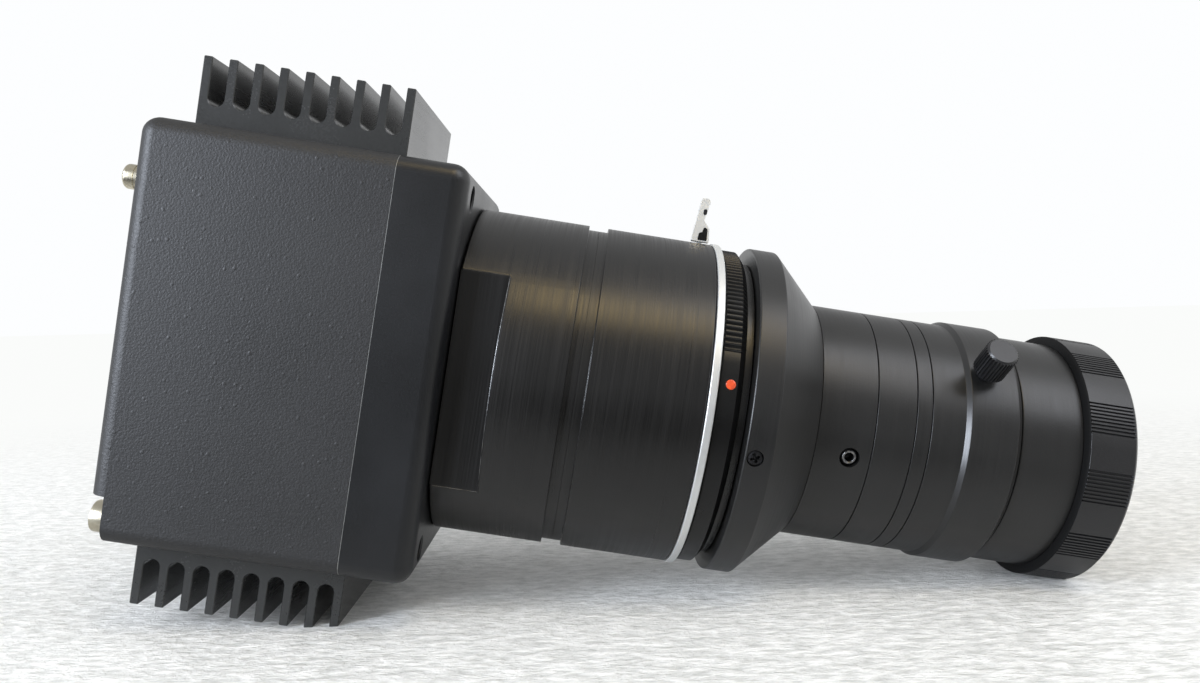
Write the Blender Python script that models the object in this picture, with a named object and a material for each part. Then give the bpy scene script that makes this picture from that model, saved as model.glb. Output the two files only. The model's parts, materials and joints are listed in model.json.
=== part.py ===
"""Industrial line-scan camera with finned coolers and a bayonet-mounted macro lens.

Every size is in millimetres in the camera's own axes: X runs along the optical
axis towards the lens, with x = 0 on the front plate's face, and Z is up. An
angle round the axis is counted from -Y, so 90 degrees is straight up.
"""
from collections import namedtuple
from math import asin, cos, pi, radians, sin, tau

import bmesh
import bpy
from mathutils import Matrix, Vector

CapScrew = namedtuple("CapScrew", "head_radius head_height shank_radius length socket_radius")

# Metres in a millimetre, the gap left between pieces, and how far a cutter runs past a face
MM = 0.001
GAP = 0.3
PAST = 1.0
MERGE = 0.0001
SMOOTH_ANGLE = radians(35)

# Facets round a turned piece
TUBE_SEGMENTS = 28
LENS_SEGMENTS = 28
CELL_SEGMENTS = 18
SOCKET_SEGMENTS = 14
BORE_SEGMENTS = 10
SCREW_SEGMENTS = 8
HEX_SIDES = 6

# Screw drives
SOCKET_DEPTH = 1.2
SET_SOCKET = 0.9
CROSS_ARM = 0.75
CROSS_HALF_WIDTH = 0.2
CROSS_DEPTH = 0.7

# Camera body
BODY_DEPTH = 60.0
BODY_HEIGHT = 72.0
HALF_DEPTH = BODY_DEPTH / 2
HALF_HEIGHT = BODY_HEIGHT / 2
BODY_EDGE = 3.0
EDGE_STEPS = 3
HOUSING_REAR = -55.0
PLATE_REAR = -12.0
HOUSING_FRONT = PLATE_REAR - GAP
REAR_WALL = 4.5
CAVITY_REAR = HOUSING_REAR + REAR_WALL
CAVITY_HALF_Y = 26.5
CAVITY_HALF_Z = 32.5
CORNER_BLOCK_Y = 17.5
CORNER_BLOCK_Z = 28.0

# Corner reliefs on the lower rear edge, each with a cap screw
RELIEF_DEPTH = 2.8
RELIEF_TOP = -27.9
RELIEF_INNER_Y = 19.0
REAR_SCREW_Y = 25.0
REAR_SCREW_Z = -32.6
REAR_SCREW = CapScrew(2.75, 2.9, 1.4, 5.0, 1.3)

# Finned coolers
COOLER_HEIGHT = 12.4
COOLER_FRONT = -12.4
COOLER_DEPTH = 43.0
FIN_COUNT = 9
FIN_PITCH = 4.41
FIN_WIDTH = 1.56
SLOT_FLOOR = 4.0
SLOT_STEPS = 4
COOLER_SCREW_X = -32.0
COOLER_SCREW_Y = 12.0
COOLER_SCREW = CapScrew(2.6, 2.2, 1.3, 5.6, 1.2)
COOLER_SCREW_DEPTH = 2.8

# Plate screws in their deep counterbores
PLATE_SCREW_Y = 22.0
PLATE_SCREW_Z = 31.0
PLATE_SCREW = CapScrew(1.9, 2.0, 1.0, 10.0, 0.9)
COUNTERBORE = 2.2
COUNTERBORE_FLOOR = -8.0

# Sensor and circuit boards on stepped posts
SENSOR_BORE = 17.5
WINDOW_RADIUS = 18.9
WINDOW_REAR = -7.9
WINDOW_FRONT = -6.6
SENSOR_HALF_Y = 15.0
SENSOR_HALF_Z = 5.0
BOARD_HALF_Y = 24.0
BOARD_HALF_Z = 26.5
BOARD_THICKNESS = 1.6
SENSOR_BOARD_FRONT = -14.6
PROCESSING_BOARD_FRONT = -28.0
INTERFACE_BOARD_FRONT = -45.7
INTERFACE_HALF_Y = 25.5
INTERFACE_BOTTOM = -20.0
INTERFACE_TOP = 27.5
POST_SPACING = 20.0
POST_RADII = (1.2, 2.6, 1.9, 1.2)
POST_FRONT = -9.0
POST_REAR = -32.0
LINK_HALF_Y = 14.0
FRONT_LINK_Z = (-24.0, -19.0)
REAR_LINK_Z = (-19.0, -13.0)

# Rear connectors
DATA_Z = 25.7
DATA_HALF_Y = 17.0
DATA_HALF_Z = 4.2
DATA_WALL_Y = 1.6
DATA_WALL_Z = 1.2
DATA_CHAMFER = 1.4
DATA_REAR = -57.5
DATA_MOUTH = 5.0
JACKPOST_Y = 23.0
JACKPOST_REAR = -58.8
JACKPOST_RADIUS = 2.15
JACKPOST_EDGE = 0.4
JACKPOST_STUD = 1.4
JACKPOST_STUD_END = -44.5
JACKPOST_THREAD = 1.2
JACKPOST_THREAD_DEPTH = 3.0
POWER_Y = -8.0
POWER_Z = -8.0
POWER_RADIUS = 6.0
POWER_BORE = 4.5
POWER_REAR = -58.5
POWER_MOUTH = 7.0
POWER_PINS = 6
POWER_PIN_CIRCLE = 2.7
POWER_PIN_RADIUS = 0.5
POWER_PIN_LENGTH = 2.0
NUT_RADIUS = 8.6
NUT_REAR = -57.0
LAMP_Y = 12.0
LAMP_Z = -8.0
LAMP_RADIUS = 1.5
LAMP_DOME = 0.8

# Tube between the body and the lens, in two pieces that meet in a groove
TUBE_RADIUS = 31.35
TUBE_FRONT = 44.6
GROOVE_REAR = 20.8
GROOVE_SPLIT = 22.5
GROOVE_FRONT = 24.5
GROOVE_RADIUS = 30.55
SPIGOT_RADIUS = 21.0
SPIGOT_BORE = 18.5
SPIGOT_LENGTH = 6.0
FLAT_DISTANCE = 25.0
FLAT_FRONT = 8.65
FLAT_BORE = 22.5
FLAT_BORE_REAR = 2.5
TUBE_BORE = 26.0
SLEEVE_RADIUS = 28.2
SLEEVE_FRONT = 30.0
BAFFLE_BORE = 22.0
BAFFLE_REAR = 30.5
BAFFLE_FRONT = 36.0
MOUNT_BORE = 27.6

# Bayonet and its release lever
MOUNT_RING_REAR = TUBE_FRONT + GAP
MOUNT_RING_FRONT = 46.2
MOUNT_RING_RADIUS = 31.6
BAYONET_BORE = 22.2
BAYONET_NECK = 21.8
BAYONET_TAB = 23.5
BAYONET_NOTCH = 24.0
TAB_REAR = 43.3
TAB_FRONT = 44.5
TAB_ANGLES = (15.0, 135.0, 255.0)
TAB_WIDTH = 36.0
TAB_CLEARANCE = 0.1
NOTCH_OFFSET = 60.0
NOTCH_WIDTH = 40.0
LEVER_ANGLE = 100.0
LEVER_REAR = 42.6
LEVER_THICKNESS = 1.0
LEVER_WIDTH = 6.8
LEVER_FOOT = 23.9
LEVER_TOP = 41.0
LEVER_LIP = 1.4
LEVER_HOLE = (33.4, 36.4)
LEVER_HOLE_HALF_WIDTH = 1.8
LEVER_TRAVEL = 1.8
LEVER_CLEARANCE = 0.6
PIN_RADIUS = 1.1
PIN_HOLE = PIN_RADIUS + GAP
PIN_DISTANCE = 25.5
PIN_FRONT = 48.2
SPRING_REAR = 36.4
SPRING_RADIUS = 1.3
SPRING_WIRE = 0.3
SPRING_TURNS = 4
SPRING_POINTS = 8

# Adapter ring between the bayonet and the lens flange
ADAPTER_REAR = MOUNT_RING_FRONT + GAP
ADAPTER_FRONT = 50.5
ADAPTER_RADIUS = 30.7
ADAPTER_BORE = 19.5
THREAD_RADIUS = 25.7
THREAD_FRONT = 54.9
GRIP_PITCH = 3.0
GRIP_BAR = 1.5
GRIP_DEPTH = 0.45
GRIP_SPANS = ((23.0, 150.0), (210.0, 270.0))
PLAIN_STEP = 10.0
SPACER_RADIUS = 28.6
SPACER_FRONT = 51.9

# Lens flange and barrel rings, stacked on each other's spigots
FLANGE_REAR = 52.2
FLANGE_FRONT = 57.0
FLANGE_RADIUS = 31.8
FLANGE_EDGE = 0.4
FLANGE_RECESS_FRONT = 55.5
THROAT_RADIUS = 20.0
LIGHT_BORE = 15.5
LIGHT_BORE_REAR = 60.0
BARREL_RADIUS = 22.72
CONE_FRONT = FLANGE_FRONT + FLANGE_RADIUS - BARREL_RADIUS
LENS_SPIGOT = 18.0
LENS_SPIGOT_FRONT = 75.2
STACK_RADIUS = 19.6
STACK_BORE = 17.6
RING_ONE_REAR = 76.4
REAR_STACK_FRONT = 80.0
RING_TWO_REAR = 83.5
FRONT_STACK_FRONT = 88.7
RADIAL_SCREW_ANGLES = (-9.0, 111.0, 231.0)
RADIAL_SCREW_SINK = 0.4
FLANGE_SCREW_X = 54.1
FLANGE_SCREW_RADIUS = 1.15
FLANGE_SCREW_TIP = 26.4
SET_SCREW_X = 72.5
SET_SCREW_RADIUS = 1.6
SET_SCREW_TIP = 18.6

# Focus collar, its lock screw and what turns and slides in it
COLLAR_REAR = 86.3
COLLAR_WEB_REAR = 89.0
COLLAR_WEB_FRONT = 91.0
COLLAR_SHOULDER = 92.2
COLLAR_SHOULDER_WIDTH = 0.8
COLLAR_EDGE = 1.0
COLLAR_FRONT = 102.5
COLLAR_RADIUS = 23.4
KEY_HALF_WIDTH = 0.9
KEY_TIP = 16.2
THUMBSCREW_X = 95.6
THUMBSCREW_ANGLE = 38.5
THUMBSCREW_RADIUS = 2.9
THUMBSCREW_NECK = 1.4
THUMBSCREW_SHANK = 1.3
THUMBSCREW_TOP = 30.9
THUMBSCREW_TEETH = 16
THUMBSCREW_TOOTH = 0.25
FRONT_BARREL_RADIUS = 22.1
FRONT_BARREL_FRONT = 113.6
FRONT_BARREL_EDGE = 0.3
FRONT_BARREL_BORE = 18.9
SKIRT_REAR = 91.4
SKIRT_RADIUS = 20.9
RING_SEAT_RADIUS = 20.8
RING_SEAT_FRONT = 121.0
FOCUS_TRAVEL = 4.0

# Lens cell and optics
CELL_REAR = 84.0
CELL_RADIUS = 17.0
HELICOID_REAR = 103.0
HELICOID_RADIUS = 18.6
CELL_FRONT = 117.5
FRONT_SEAT = 16.4
FRONT_SEAT_REAR = 108.0
INNER_SEAT = 12.9
INNER_SEAT_REAR = 100.5
STOP_RADIUS = 8.0
STOP_REAR = 97.0
REAR_SEAT = 14.2
REAR_SEAT_FRONT = 91.2
REAR_SEAT_LIP = 12.0
REAR_ELEMENT_EDGE = 88.0
REAR_ELEMENT_SAG = -2.6
INNER_ELEMENT_EDGE = 105.0
INNER_ELEMENT_SAG = 2.0
FRONT_ELEMENT_EDGE = 112.0
FRONT_ELEMENT_SAG = 3.0
FRONT_ELEMENT_HOLLOW = 1.2
REAR_RETAINER = ((84.6, 11.8), (87.6, 12.8))
FRONT_RETAINER = ((112.8, 15.0), (115.2, 14.4))

# Knurled front ring
FRONT_RING_REAR = FRONT_BARREL_FRONT + GAP
FRONT_RING_FRONT = 123.2
FRONT_RING_RADIUS = 23.8
FRONT_RING_SHOULDER = 1.4
FRONT_RING_STEP = 1.8
FRONT_RING_EDGE = 0.6
FRONT_RING_LIP = 19.8
KNURL_PATCHES = 12
KNURL_GROOVES = 6
KNURL_DEPTH = 0.4
KNURL_CENTRE = 25.0

# The optical axis in the part's own frame: centred, standing on the lower fins
AXIS_PLACE = (-(JACKPOST_REAR + FRONT_RING_FRONT) / 2, 0.0, HALF_HEIGHT + COOLER_HEIGHT)
AXIS_NAME = "optical_axis"
ORIGIN = (0.0, 0.0, 0.0)
SIDES = (("near", -1), ("far", 1))
CORNERS = ((-1, 1), (1, 1), (-1, -1), (1, -1))


def clear_scene():
    """Remove whatever the file holds."""
    for old in list(bpy.data.objects):
        bpy.data.objects.remove(old, do_unlink=True)


def finish(name, colour, roughness, metallic):
    """Make a plain material from a linear colour."""
    material = bpy.data.materials.new(name)
    material.use_nodes = True
    shader = material.node_tree.nodes["Principled BSDF"]
    shader.inputs["Base Color"].default_value = (*colour, 1.0)
    shader.inputs["Roughness"].default_value = roughness
    shader.inputs["Metallic"].default_value = metallic
    return material


def attach(name, data, location, rotation=None):
    """Put an object into the scene on the optical axis's frame."""
    piece = bpy.data.objects.new(name, data)
    bpy.context.scene.collection.objects.link(piece)
    piece.parent = bpy.data.objects[AXIS_NAME]
    piece.location = Vector(location) * MM
    if rotation is not None:
        piece.rotation_euler = rotation.to_euler()
    return piece


def place(name, shape, material, location=ORIGIN, rotation=None):
    """Turn a shape in millimetres into an object."""
    bmesh.ops.recalc_face_normals(shape, faces=shape.faces)
    bmesh.ops.scale(shape, vec=Vector((MM, MM, MM)), verts=shape.verts)
    mesh = bpy.data.meshes.new(name)
    shape.to_mesh(mesh)
    shape.free()
    mesh.shade_smooth()
    mesh.set_sharp_from_angle(angle=SMOOTH_ANGLE)
    if material is not None:
        mesh.materials.append(material)
    return attach(name, mesh, location, rotation)


def combine(piece, shape, operation, location, rotation):
    """Add or take away a shape with a Boolean modifier."""
    label = f"{piece.name}_{operation.lower()}_{len(piece.modifiers)}"
    tool = place(label, shape, None, location, rotation)
    tool.hide_render = True
    tool.display_type = 'WIRE'
    modifier = piece.modifiers.new(label, 'BOOLEAN')
    modifier.operation = operation
    modifier.object = tool
    modifier.solver = 'EXACT'


def cut(piece, shape, location=ORIGIN, rotation=None):
    """Take a shape away from a piece."""
    combine(piece, shape, 'DIFFERENCE', location, rotation)


def add(piece, shape, location=ORIGIN, rotation=None):
    """Fuse a shape onto a piece."""
    combine(piece, shape, 'UNION', location, rotation)


def outward(angle):
    """Unit vector from the optical axis towards an angle in degrees."""
    return Vector((0.0, -cos(radians(angle)), sin(radians(angle))))


def radial_turn(angle):
    """Rotation that lays local X along the outward direction at an angle."""
    return Vector((1.0, 0.0, 0.0)).rotation_difference(outward(angle))


def upright_turn(angle):
    """Rotation about the optical axis that brings local Z to an angle."""
    return Matrix.Rotation(radians(90.0 - angle), 4, 'X').to_quaternion()


def turned(profile, segments):
    """Turn a closed outline of (x, radius) points about the X axis."""
    shape = bmesh.new()
    corners = [shape.verts.new((x, 0.0, radius)) for x, radius in profile]
    edges = [shape.edges.new((corners[i - 1], corners[i])) for i in range(len(corners))]
    bmesh.ops.spin(shape, geom=corners + edges, cent=(0, 0, 0), axis=(1, 0, 0), angle=tau,
                   steps=segments, use_merge=True)
    bmesh.ops.remove_doubles(shape, verts=shape.verts, dist=MERGE)
    bmesh.ops.dissolve_degenerate(shape, edges=shape.edges, dist=MERGE)
    return shape


def rod(x_low, x_high, radius, segments=SCREW_SEGMENTS):
    """Plain round bar along X."""
    return turned([(x_low, 0.0), (x_low, radius), (x_high, radius), (x_high, 0.0)], segments)


def swept(outline, low, high, to_point):
    """Carry a closed flat outline from one level to another."""
    shape = bmesh.new()
    rings = []
    for level in (low, high):
        rings.append([shape.verts.new(to_point(a, b, level)) for a, b in outline])
    close(shape, rings)
    return shape


def close(shape, rings):
    """Skin a stack of rings of points and cap both ends."""
    count = len(rings[0])
    shape.faces.new(reversed(rings[0]))
    shape.faces.new(rings[-1])
    for low, high in zip(rings, rings[1:]):
        for i in range(count):
            j = (i + 1) % count
            shape.faces.new((low[i], low[j], high[j], high[i]))


def along_x(outline, x_low, x_high):
    """Carry an outline of (y, z) points along X."""
    return swept(outline, x_low, x_high, lambda y, z, x: (x, y, z))


def along_y(outline, y_low, y_high):
    """Carry an outline of (x, z) points along Y."""
    return swept(outline, y_low, y_high, lambda x, z, y: (x, y, z))


def block(low, high):
    """Square-edged block between two corners."""
    outline = [(low[1], low[2]), (high[1], low[2]), (high[1], high[2]), (low[1], high[2])]
    return along_x(outline, low[0], high[0])


def body_block(x_low, x_high, sharp_x):
    """Body section with every edge rounded except those of the end face at sharp_x."""
    shape = block((x_low, -HALF_DEPTH, -HALF_HEIGHT), (x_high, HALF_DEPTH, HALF_HEIGHT))
    edges = [edge for edge in shape.edges
             if any(abs(corner.co.x - sharp_x) > GAP for corner in edge.verts)]
    bmesh.ops.bevel(shape, geom=edges, offset=BODY_EDGE, offset_type='OFFSET',
                    segments=EDGE_STEPS, profile=0.5, affect='EDGES')
    return shape


def quarters(corner):
    """Repeat a corner's (y, z) points in all four quarters, in order round the axis."""
    points = []
    for sy, sz in ((1, 1), (-1, 1), (-1, -1), (1, -1)):
        turn = [(sy * y, sz * z) for y, z in corner]
        points += turn if sy == sz else list(reversed(turn))
    return points


def sector(angle, width, inner, outer, x_low, x_high):
    """Slice of a ring, centred on an angle."""
    steps = max(2, round(width / PLAIN_STEP))
    sweep = [angle - width / 2 + width * i / steps for i in range(steps + 1)]
    arc = [(outward(a).y * outer, outward(a).z * outer) for a in sweep]
    back = [(outward(a).y * inner, outward(a).z * inner) for a in reversed(sweep)]
    return along_x(arc + back, x_low, x_high)


def place_cap_screw(name, screw, metal, location, rotation=None):
    """Hex-socket cap screw: its head sits on the location and its shank runs along +X."""
    top = -screw.head_height
    shape = turned([(top, 0.0), (top, screw.head_radius), (0.0, screw.head_radius), (0.0, screw.shank_radius),
                    (screw.length, screw.shank_radius), (screw.length, 0.0)], SCREW_SEGMENTS)
    piece = place(name, shape, metal, location, rotation)
    cut(piece, rod(top - PAST, top + SOCKET_DEPTH, screw.socket_radius, HEX_SIDES), location, rotation)


def place_radial_screw(name, tip, top, radius, drive, metal, location, rotation):
    """Headless screw from one radius to another, with a drive recess in its outer end."""
    piece = place(name, rod(tip, top, radius), metal, location, rotation)
    cut(piece, drive, location, rotation)


def bulge(radius, sag, x_edge, steps=4):
    """Points of a spherical cap from its rim to the axis, standing out along X by sag."""
    if sag == 0.0:
        return [(x_edge, radius), (x_edge, 0.0)]
    side = 1 if sag > 0 else -1
    ball = (radius * radius + sag * sag) / (2 * abs(sag))
    half = asin(radius / ball)
    centre = x_edge + sag - side * ball
    swings = [half * (1 - i / steps) for i in range(steps + 1)]
    return [(centre + side * ball * cos(swing), ball * sin(swing)) for swing in swings]


def glass(rear_edge, front_edge, radius, rear_sag, front_sag):
    """Lens element between two spherical faces."""
    front = bulge(radius, front_sag, front_edge)
    rear = bulge(radius, rear_sag, rear_edge)
    return turned(front + list(reversed(rear)), CELL_SEGMENTS)


def toothed(radius, depth, marks):
    """Outline of (y, z) points: each (angle, is_groove) is at full radius or groove depth."""
    reaches = [(angle, radius - depth if is_groove else radius) for angle, is_groove in marks]
    return [(outward(angle).y * reach, outward(angle).z * reach) for angle, reach in reaches]


def cooler_shape(up):
    """Comb of straight fins with round-bottomed slots, lying across the body."""
    base = HALF_HEIGHT + GAP
    floor = HALF_HEIGHT + SLOT_FLOOR
    tip = HALF_HEIGHT + COOLER_HEIGHT
    rear = COOLER_FRONT - (FIN_COUNT - 1) * FIN_PITCH - FIN_WIDTH
    half_slot = (FIN_PITCH - FIN_WIDTH) / 2
    outline = [(rear, base), (rear, tip)]
    for fin in range(FIN_COUNT - 1):
        slot_rear = rear + FIN_WIDTH + fin * FIN_PITCH
        outline.append((slot_rear, tip))
        for step in range(SLOT_STEPS + 1):
            swing = pi * step / SLOT_STEPS
            along = slot_rear + half_slot * (1 - cos(swing))
            outline.append((along, floor + half_slot * (1 - sin(swing))))
        outline.append((slot_rear + 2 * half_slot, tip))
    outline += [(COOLER_FRONT, tip), (COOLER_FRONT, base)]
    return along_y([(x, up * z) for x, z in outline], -COOLER_DEPTH / 2, COOLER_DEPTH / 2)


def build_housing(metal, nickel):
    """Rear housing: a shell with corner blocks, connector holes and corner reliefs."""
    housing = place("rear_housing", body_block(HOUSING_REAR, HOUSING_FRONT, HOUSING_FRONT), metal)
    cavity = quarters([(CAVITY_HALF_Y, CORNER_BLOCK_Z), (CORNER_BLOCK_Y, CORNER_BLOCK_Z),
                       (CORNER_BLOCK_Y, CAVITY_HALF_Z)])
    cut(housing, along_x(cavity, CAVITY_REAR, HOUSING_FRONT + PAST))
    through = (HOUSING_REAR - PAST, CAVITY_REAR + PAST)
    half_y = DATA_HALF_Y + GAP
    half_z = DATA_HALF_Z + GAP
    cut(housing, block((through[0], -half_y, DATA_Z - half_z), (through[1], half_y, DATA_Z + half_z)))
    cut(housing, rod(*through, POWER_RADIUS + GAP, SOCKET_SEGMENTS), (0, POWER_Y, POWER_Z))
    cut(housing, rod(*through, LAMP_RADIUS + GAP), (0, LAMP_Y, LAMP_Z))
    relief_floor = HOUSING_REAR + RELIEF_DEPTH
    for side, sign in SIDES:
        cut(housing, rod(*through, JACKPOST_STUD + GAP), (0, sign * JACKPOST_Y, DATA_Z))
        relief_low, relief_high = sorted((sign * RELIEF_INNER_Y, sign * (HALF_DEPTH + PAST)))
        cut(housing, block((through[0], relief_low, -HALF_HEIGHT - PAST),
                           (relief_floor, relief_high, RELIEF_TOP)))
        spot = (relief_floor - GAP, sign * REAR_SCREW_Y, REAR_SCREW_Z)
        cut(housing, rod(-PAST, REAR_SCREW.length + PAST, REAR_SCREW.shank_radius + GAP), spot)
        place_cap_screw(f"rear_screw_{side}", REAR_SCREW, nickel, spot)
    screw_end = COUNTERBORE_FLOOR - PLATE_SCREW.length - PAST
    for sy, sz in CORNERS:
        cut(housing, rod(screw_end, HOUSING_FRONT + PAST, PLATE_SCREW.shank_radius + GAP),
            (0, sy * PLATE_SCREW_Y, sz * PLATE_SCREW_Z))
    return housing


def build_plate(metal, steel):
    """Front plate with the tube's seat, the window's seat and four counterbored holes."""
    plate = place("front_plate", body_block(PLATE_REAR, 0.0, PLATE_REAR), metal)
    behind = PLATE_REAR - PAST
    tube_seat = -SPIGOT_LENGTH - GAP
    window_seat = WINDOW_REAR - GAP
    cut(plate, turned([
        (behind, 0.0), (behind, SENSOR_BORE), (window_seat, SENSOR_BORE), (window_seat, WINDOW_RADIUS + GAP),
        (tube_seat, WINDOW_RADIUS + GAP), (tube_seat, SPIGOT_RADIUS + GAP), (PAST, SPIGOT_RADIUS + GAP),
        (PAST, 0.0)], TUBE_SEGMENTS))
    screw_hole = PLATE_SCREW.shank_radius + GAP
    head_first = Matrix.Rotation(pi, 4, 'Z').to_quaternion()
    for number, (sy, sz) in enumerate(CORNERS, 1):
        spot = (0, sy * PLATE_SCREW_Y, sz * PLATE_SCREW_Z)
        cut(plate, turned([
            (behind, 0.0), (behind, screw_hole), (COUNTERBORE_FLOOR, screw_hole),
            (COUNTERBORE_FLOOR, COUNTERBORE), (PAST, COUNTERBORE), (PAST, 0.0)], BORE_SEGMENTS), spot)
        place_cap_screw(f"plate_screw_{number}", PLATE_SCREW, steel,
                        (COUNTERBORE_FLOOR + GAP, spot[1], spot[2]), head_first)
        cut(plate, rod(behind, POST_FRONT + GAP, POST_RADII[0] + GAP),
            (0, sy * POST_SPACING, sz * POST_SPACING))


def build_coolers(metal, steel, housing):
    """Upper and lower coolers, each held by two screws from inside the housing."""
    hole = COOLER_SCREW.shank_radius + GAP
    for name, up in (("upper", 1), ("lower", -1)):
        cooler = place(f"{name}_cooler", cooler_shape(up), metal)
        turn = Vector((1.0, 0.0, 0.0)).rotation_difference(Vector((0.0, 0.0, up)))
        for side, sign in SIDES:
            spot = (COOLER_SCREW_X, sign * COOLER_SCREW_Y, 0.0)
            cut(housing, rod(CAVITY_HALF_Z - PAST, HALF_HEIGHT + PAST, hole), spot, turn)
            cut(cooler, rod(HALF_HEIGHT, HALF_HEIGHT + COOLER_SCREW_DEPTH, hole), spot, turn)
            place_cap_screw(f"{name}_cooler_screw_{side}", COOLER_SCREW, steel,
                            (spot[0], spot[1], up * (CAVITY_HALF_Z - GAP)), turn)


def build_boards(green, ceramic, plastic, clear, steel):
    """Sensor window, sensor, boards, the posts that carry them and the board links."""
    place("sensor_window", rod(WINDOW_REAR, WINDOW_FRONT, WINDOW_RADIUS, CELL_SEGMENTS), clear)
    place("image_sensor", block((SENSOR_BOARD_FRONT + GAP, -SENSOR_HALF_Y, -SENSOR_HALF_Z),
                                (PLATE_REAR - GAP, SENSOR_HALF_Y, SENSOR_HALF_Z)), ceramic)
    neck, base, middle, end = POST_RADII
    for name, front, post in (("sensor_board", SENSOR_BOARD_FRONT, middle),
                              ("processing_board", PROCESSING_BOARD_FRONT, end)):
        board = place(name, block((front - BOARD_THICKNESS, -BOARD_HALF_Y, -BOARD_HALF_Z),
                                  (front, BOARD_HALF_Y, BOARD_HALF_Z)), green)
        for sy, sz in CORNERS:
            cut(board, rod(front - BOARD_THICKNESS - PAST, front + PAST, post + GAP),
                (0, sy * POST_SPACING, sz * POST_SPACING))
    steps = ((POST_FRONT, neck), (PLATE_REAR - GAP, base), (SENSOR_BOARD_FRONT + GAP, middle),
             (PROCESSING_BOARD_FRONT + GAP, end), (POST_REAR, 0.0))
    profile = [(POST_FRONT, 0.0)]
    for (x, radius), (x_next, _) in zip(steps, steps[1:]):
        profile += [(x, radius), (x_next, radius)]
    profile.append((POST_REAR, 0.0))
    for number, (sy, sz) in enumerate(CORNERS, 1):
        place(f"board_post_{number}", turned(profile, HEX_SIDES), steel,
              (0, sy * POST_SPACING, sz * POST_SPACING))
    sensor_rear = SENSOR_BOARD_FRONT - BOARD_THICKNESS
    processing_rear = PROCESSING_BOARD_FRONT - BOARD_THICKNESS
    place("front_board_link", block((PROCESSING_BOARD_FRONT + GAP, -LINK_HALF_Y, FRONT_LINK_Z[0]),
                                    (sensor_rear - GAP, LINK_HALF_Y, FRONT_LINK_Z[1])), plastic)
    place("rear_board_link", block((INTERFACE_BOARD_FRONT + GAP, -LINK_HALF_Y, REAR_LINK_Z[0]),
                                   (processing_rear - GAP, LINK_HALF_Y, REAR_LINK_Z[1])), plastic)


def build_connectors(green, nickel, lamp_green):
    """Interface board with the data socket, its jackposts, the power socket and the lamp."""
    board_rear = INTERFACE_BOARD_FRONT - BOARD_THICKNESS
    board = place("interface_board", block((board_rear, -INTERFACE_HALF_Y, INTERFACE_BOTTOM),
                                           (INTERFACE_BOARD_FRONT, INTERFACE_HALF_Y, INTERFACE_TOP)), green)
    socket_front = board_rear - GAP
    data_spot = (0, 0, DATA_Z)
    data = place("data_socket", along_x(shell_outline(0.0, 0.0), DATA_REAR, socket_front), nickel, data_spot)
    mouth = shell_outline(DATA_WALL_Y, DATA_WALL_Z)
    cut(data, along_x(mouth, DATA_REAR - PAST, DATA_REAR + DATA_MOUTH), data_spot)
    for side, sign in SIDES:
        spot = (0, sign * JACKPOST_Y, DATA_Z)
        cut(board, rod(board_rear - PAST, INTERFACE_BOARD_FRONT + PAST, JACKPOST_STUD + GAP), spot)
        jackpost = place(f"jackpost_{side}", jackpost_shape(), nickel, spot)
        cut(jackpost, rod(JACKPOST_REAR - PAST, JACKPOST_REAR + JACKPOST_THREAD_DEPTH, JACKPOST_THREAD), spot)
    floor = POWER_REAR + POWER_MOUTH
    power_spot = (0, POWER_Y, POWER_Z)
    power = place("power_socket", turned([
        (POWER_REAR, POWER_BORE), (POWER_REAR, POWER_RADIUS), (socket_front, POWER_RADIUS),
        (socket_front, 0.0), (floor, 0.0), (floor, POWER_BORE)], SOCKET_SEGMENTS), nickel, power_spot)
    for pin in range(POWER_PINS):
        swing = tau * pin / POWER_PINS
        add(power, rod(floor - POWER_PIN_LENGTH, floor + PAST, POWER_PIN_RADIUS, HEX_SIDES),
            (0, POWER_Y + POWER_PIN_CIRCLE * cos(swing), POWER_Z + POWER_PIN_CIRCLE * sin(swing)))
    nut_shape = rod(NUT_REAR, HOUSING_REAR - GAP, NUT_RADIUS, HEX_SIDES)
    nut = place("power_socket_nut", nut_shape, nickel, power_spot)
    cut(nut, rod(NUT_REAR - PAST, HOUSING_REAR + PAST, POWER_RADIUS + GAP, SOCKET_SEGMENTS), power_spot)
    lamp = [(socket_front, 0.0), (socket_front, LAMP_RADIUS)] + bulge(LAMP_RADIUS, -LAMP_DOME, HOUSING_REAR)
    place("status_lamp", turned(lamp, SCREW_SEGMENTS), lamp_green, (0, LAMP_Y, LAMP_Z))


def shell_outline(wall_y, wall_z):
    """Data socket's outline, moved in by its walls: a rectangle with its corners cut off."""
    half_y = DATA_HALF_Y - wall_y
    half_z = DATA_HALF_Z - wall_z
    return quarters([(half_y, half_z - DATA_CHAMFER), (half_y - DATA_CHAMFER, half_z)])


def jackpost_shape():
    """Round post with a broken rear edge, on a stud that holds the interface board."""
    base = HOUSING_REAR - GAP
    return turned([
        (JACKPOST_REAR, 0.0), (JACKPOST_REAR, JACKPOST_RADIUS - JACKPOST_EDGE),
        (JACKPOST_REAR + JACKPOST_EDGE, JACKPOST_RADIUS), (base, JACKPOST_RADIUS), (base, JACKPOST_STUD),
        (JACKPOST_STUD_END, JACKPOST_STUD), (JACKPOST_STUD_END, 0.0)], SCREW_SEGMENTS)


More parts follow.
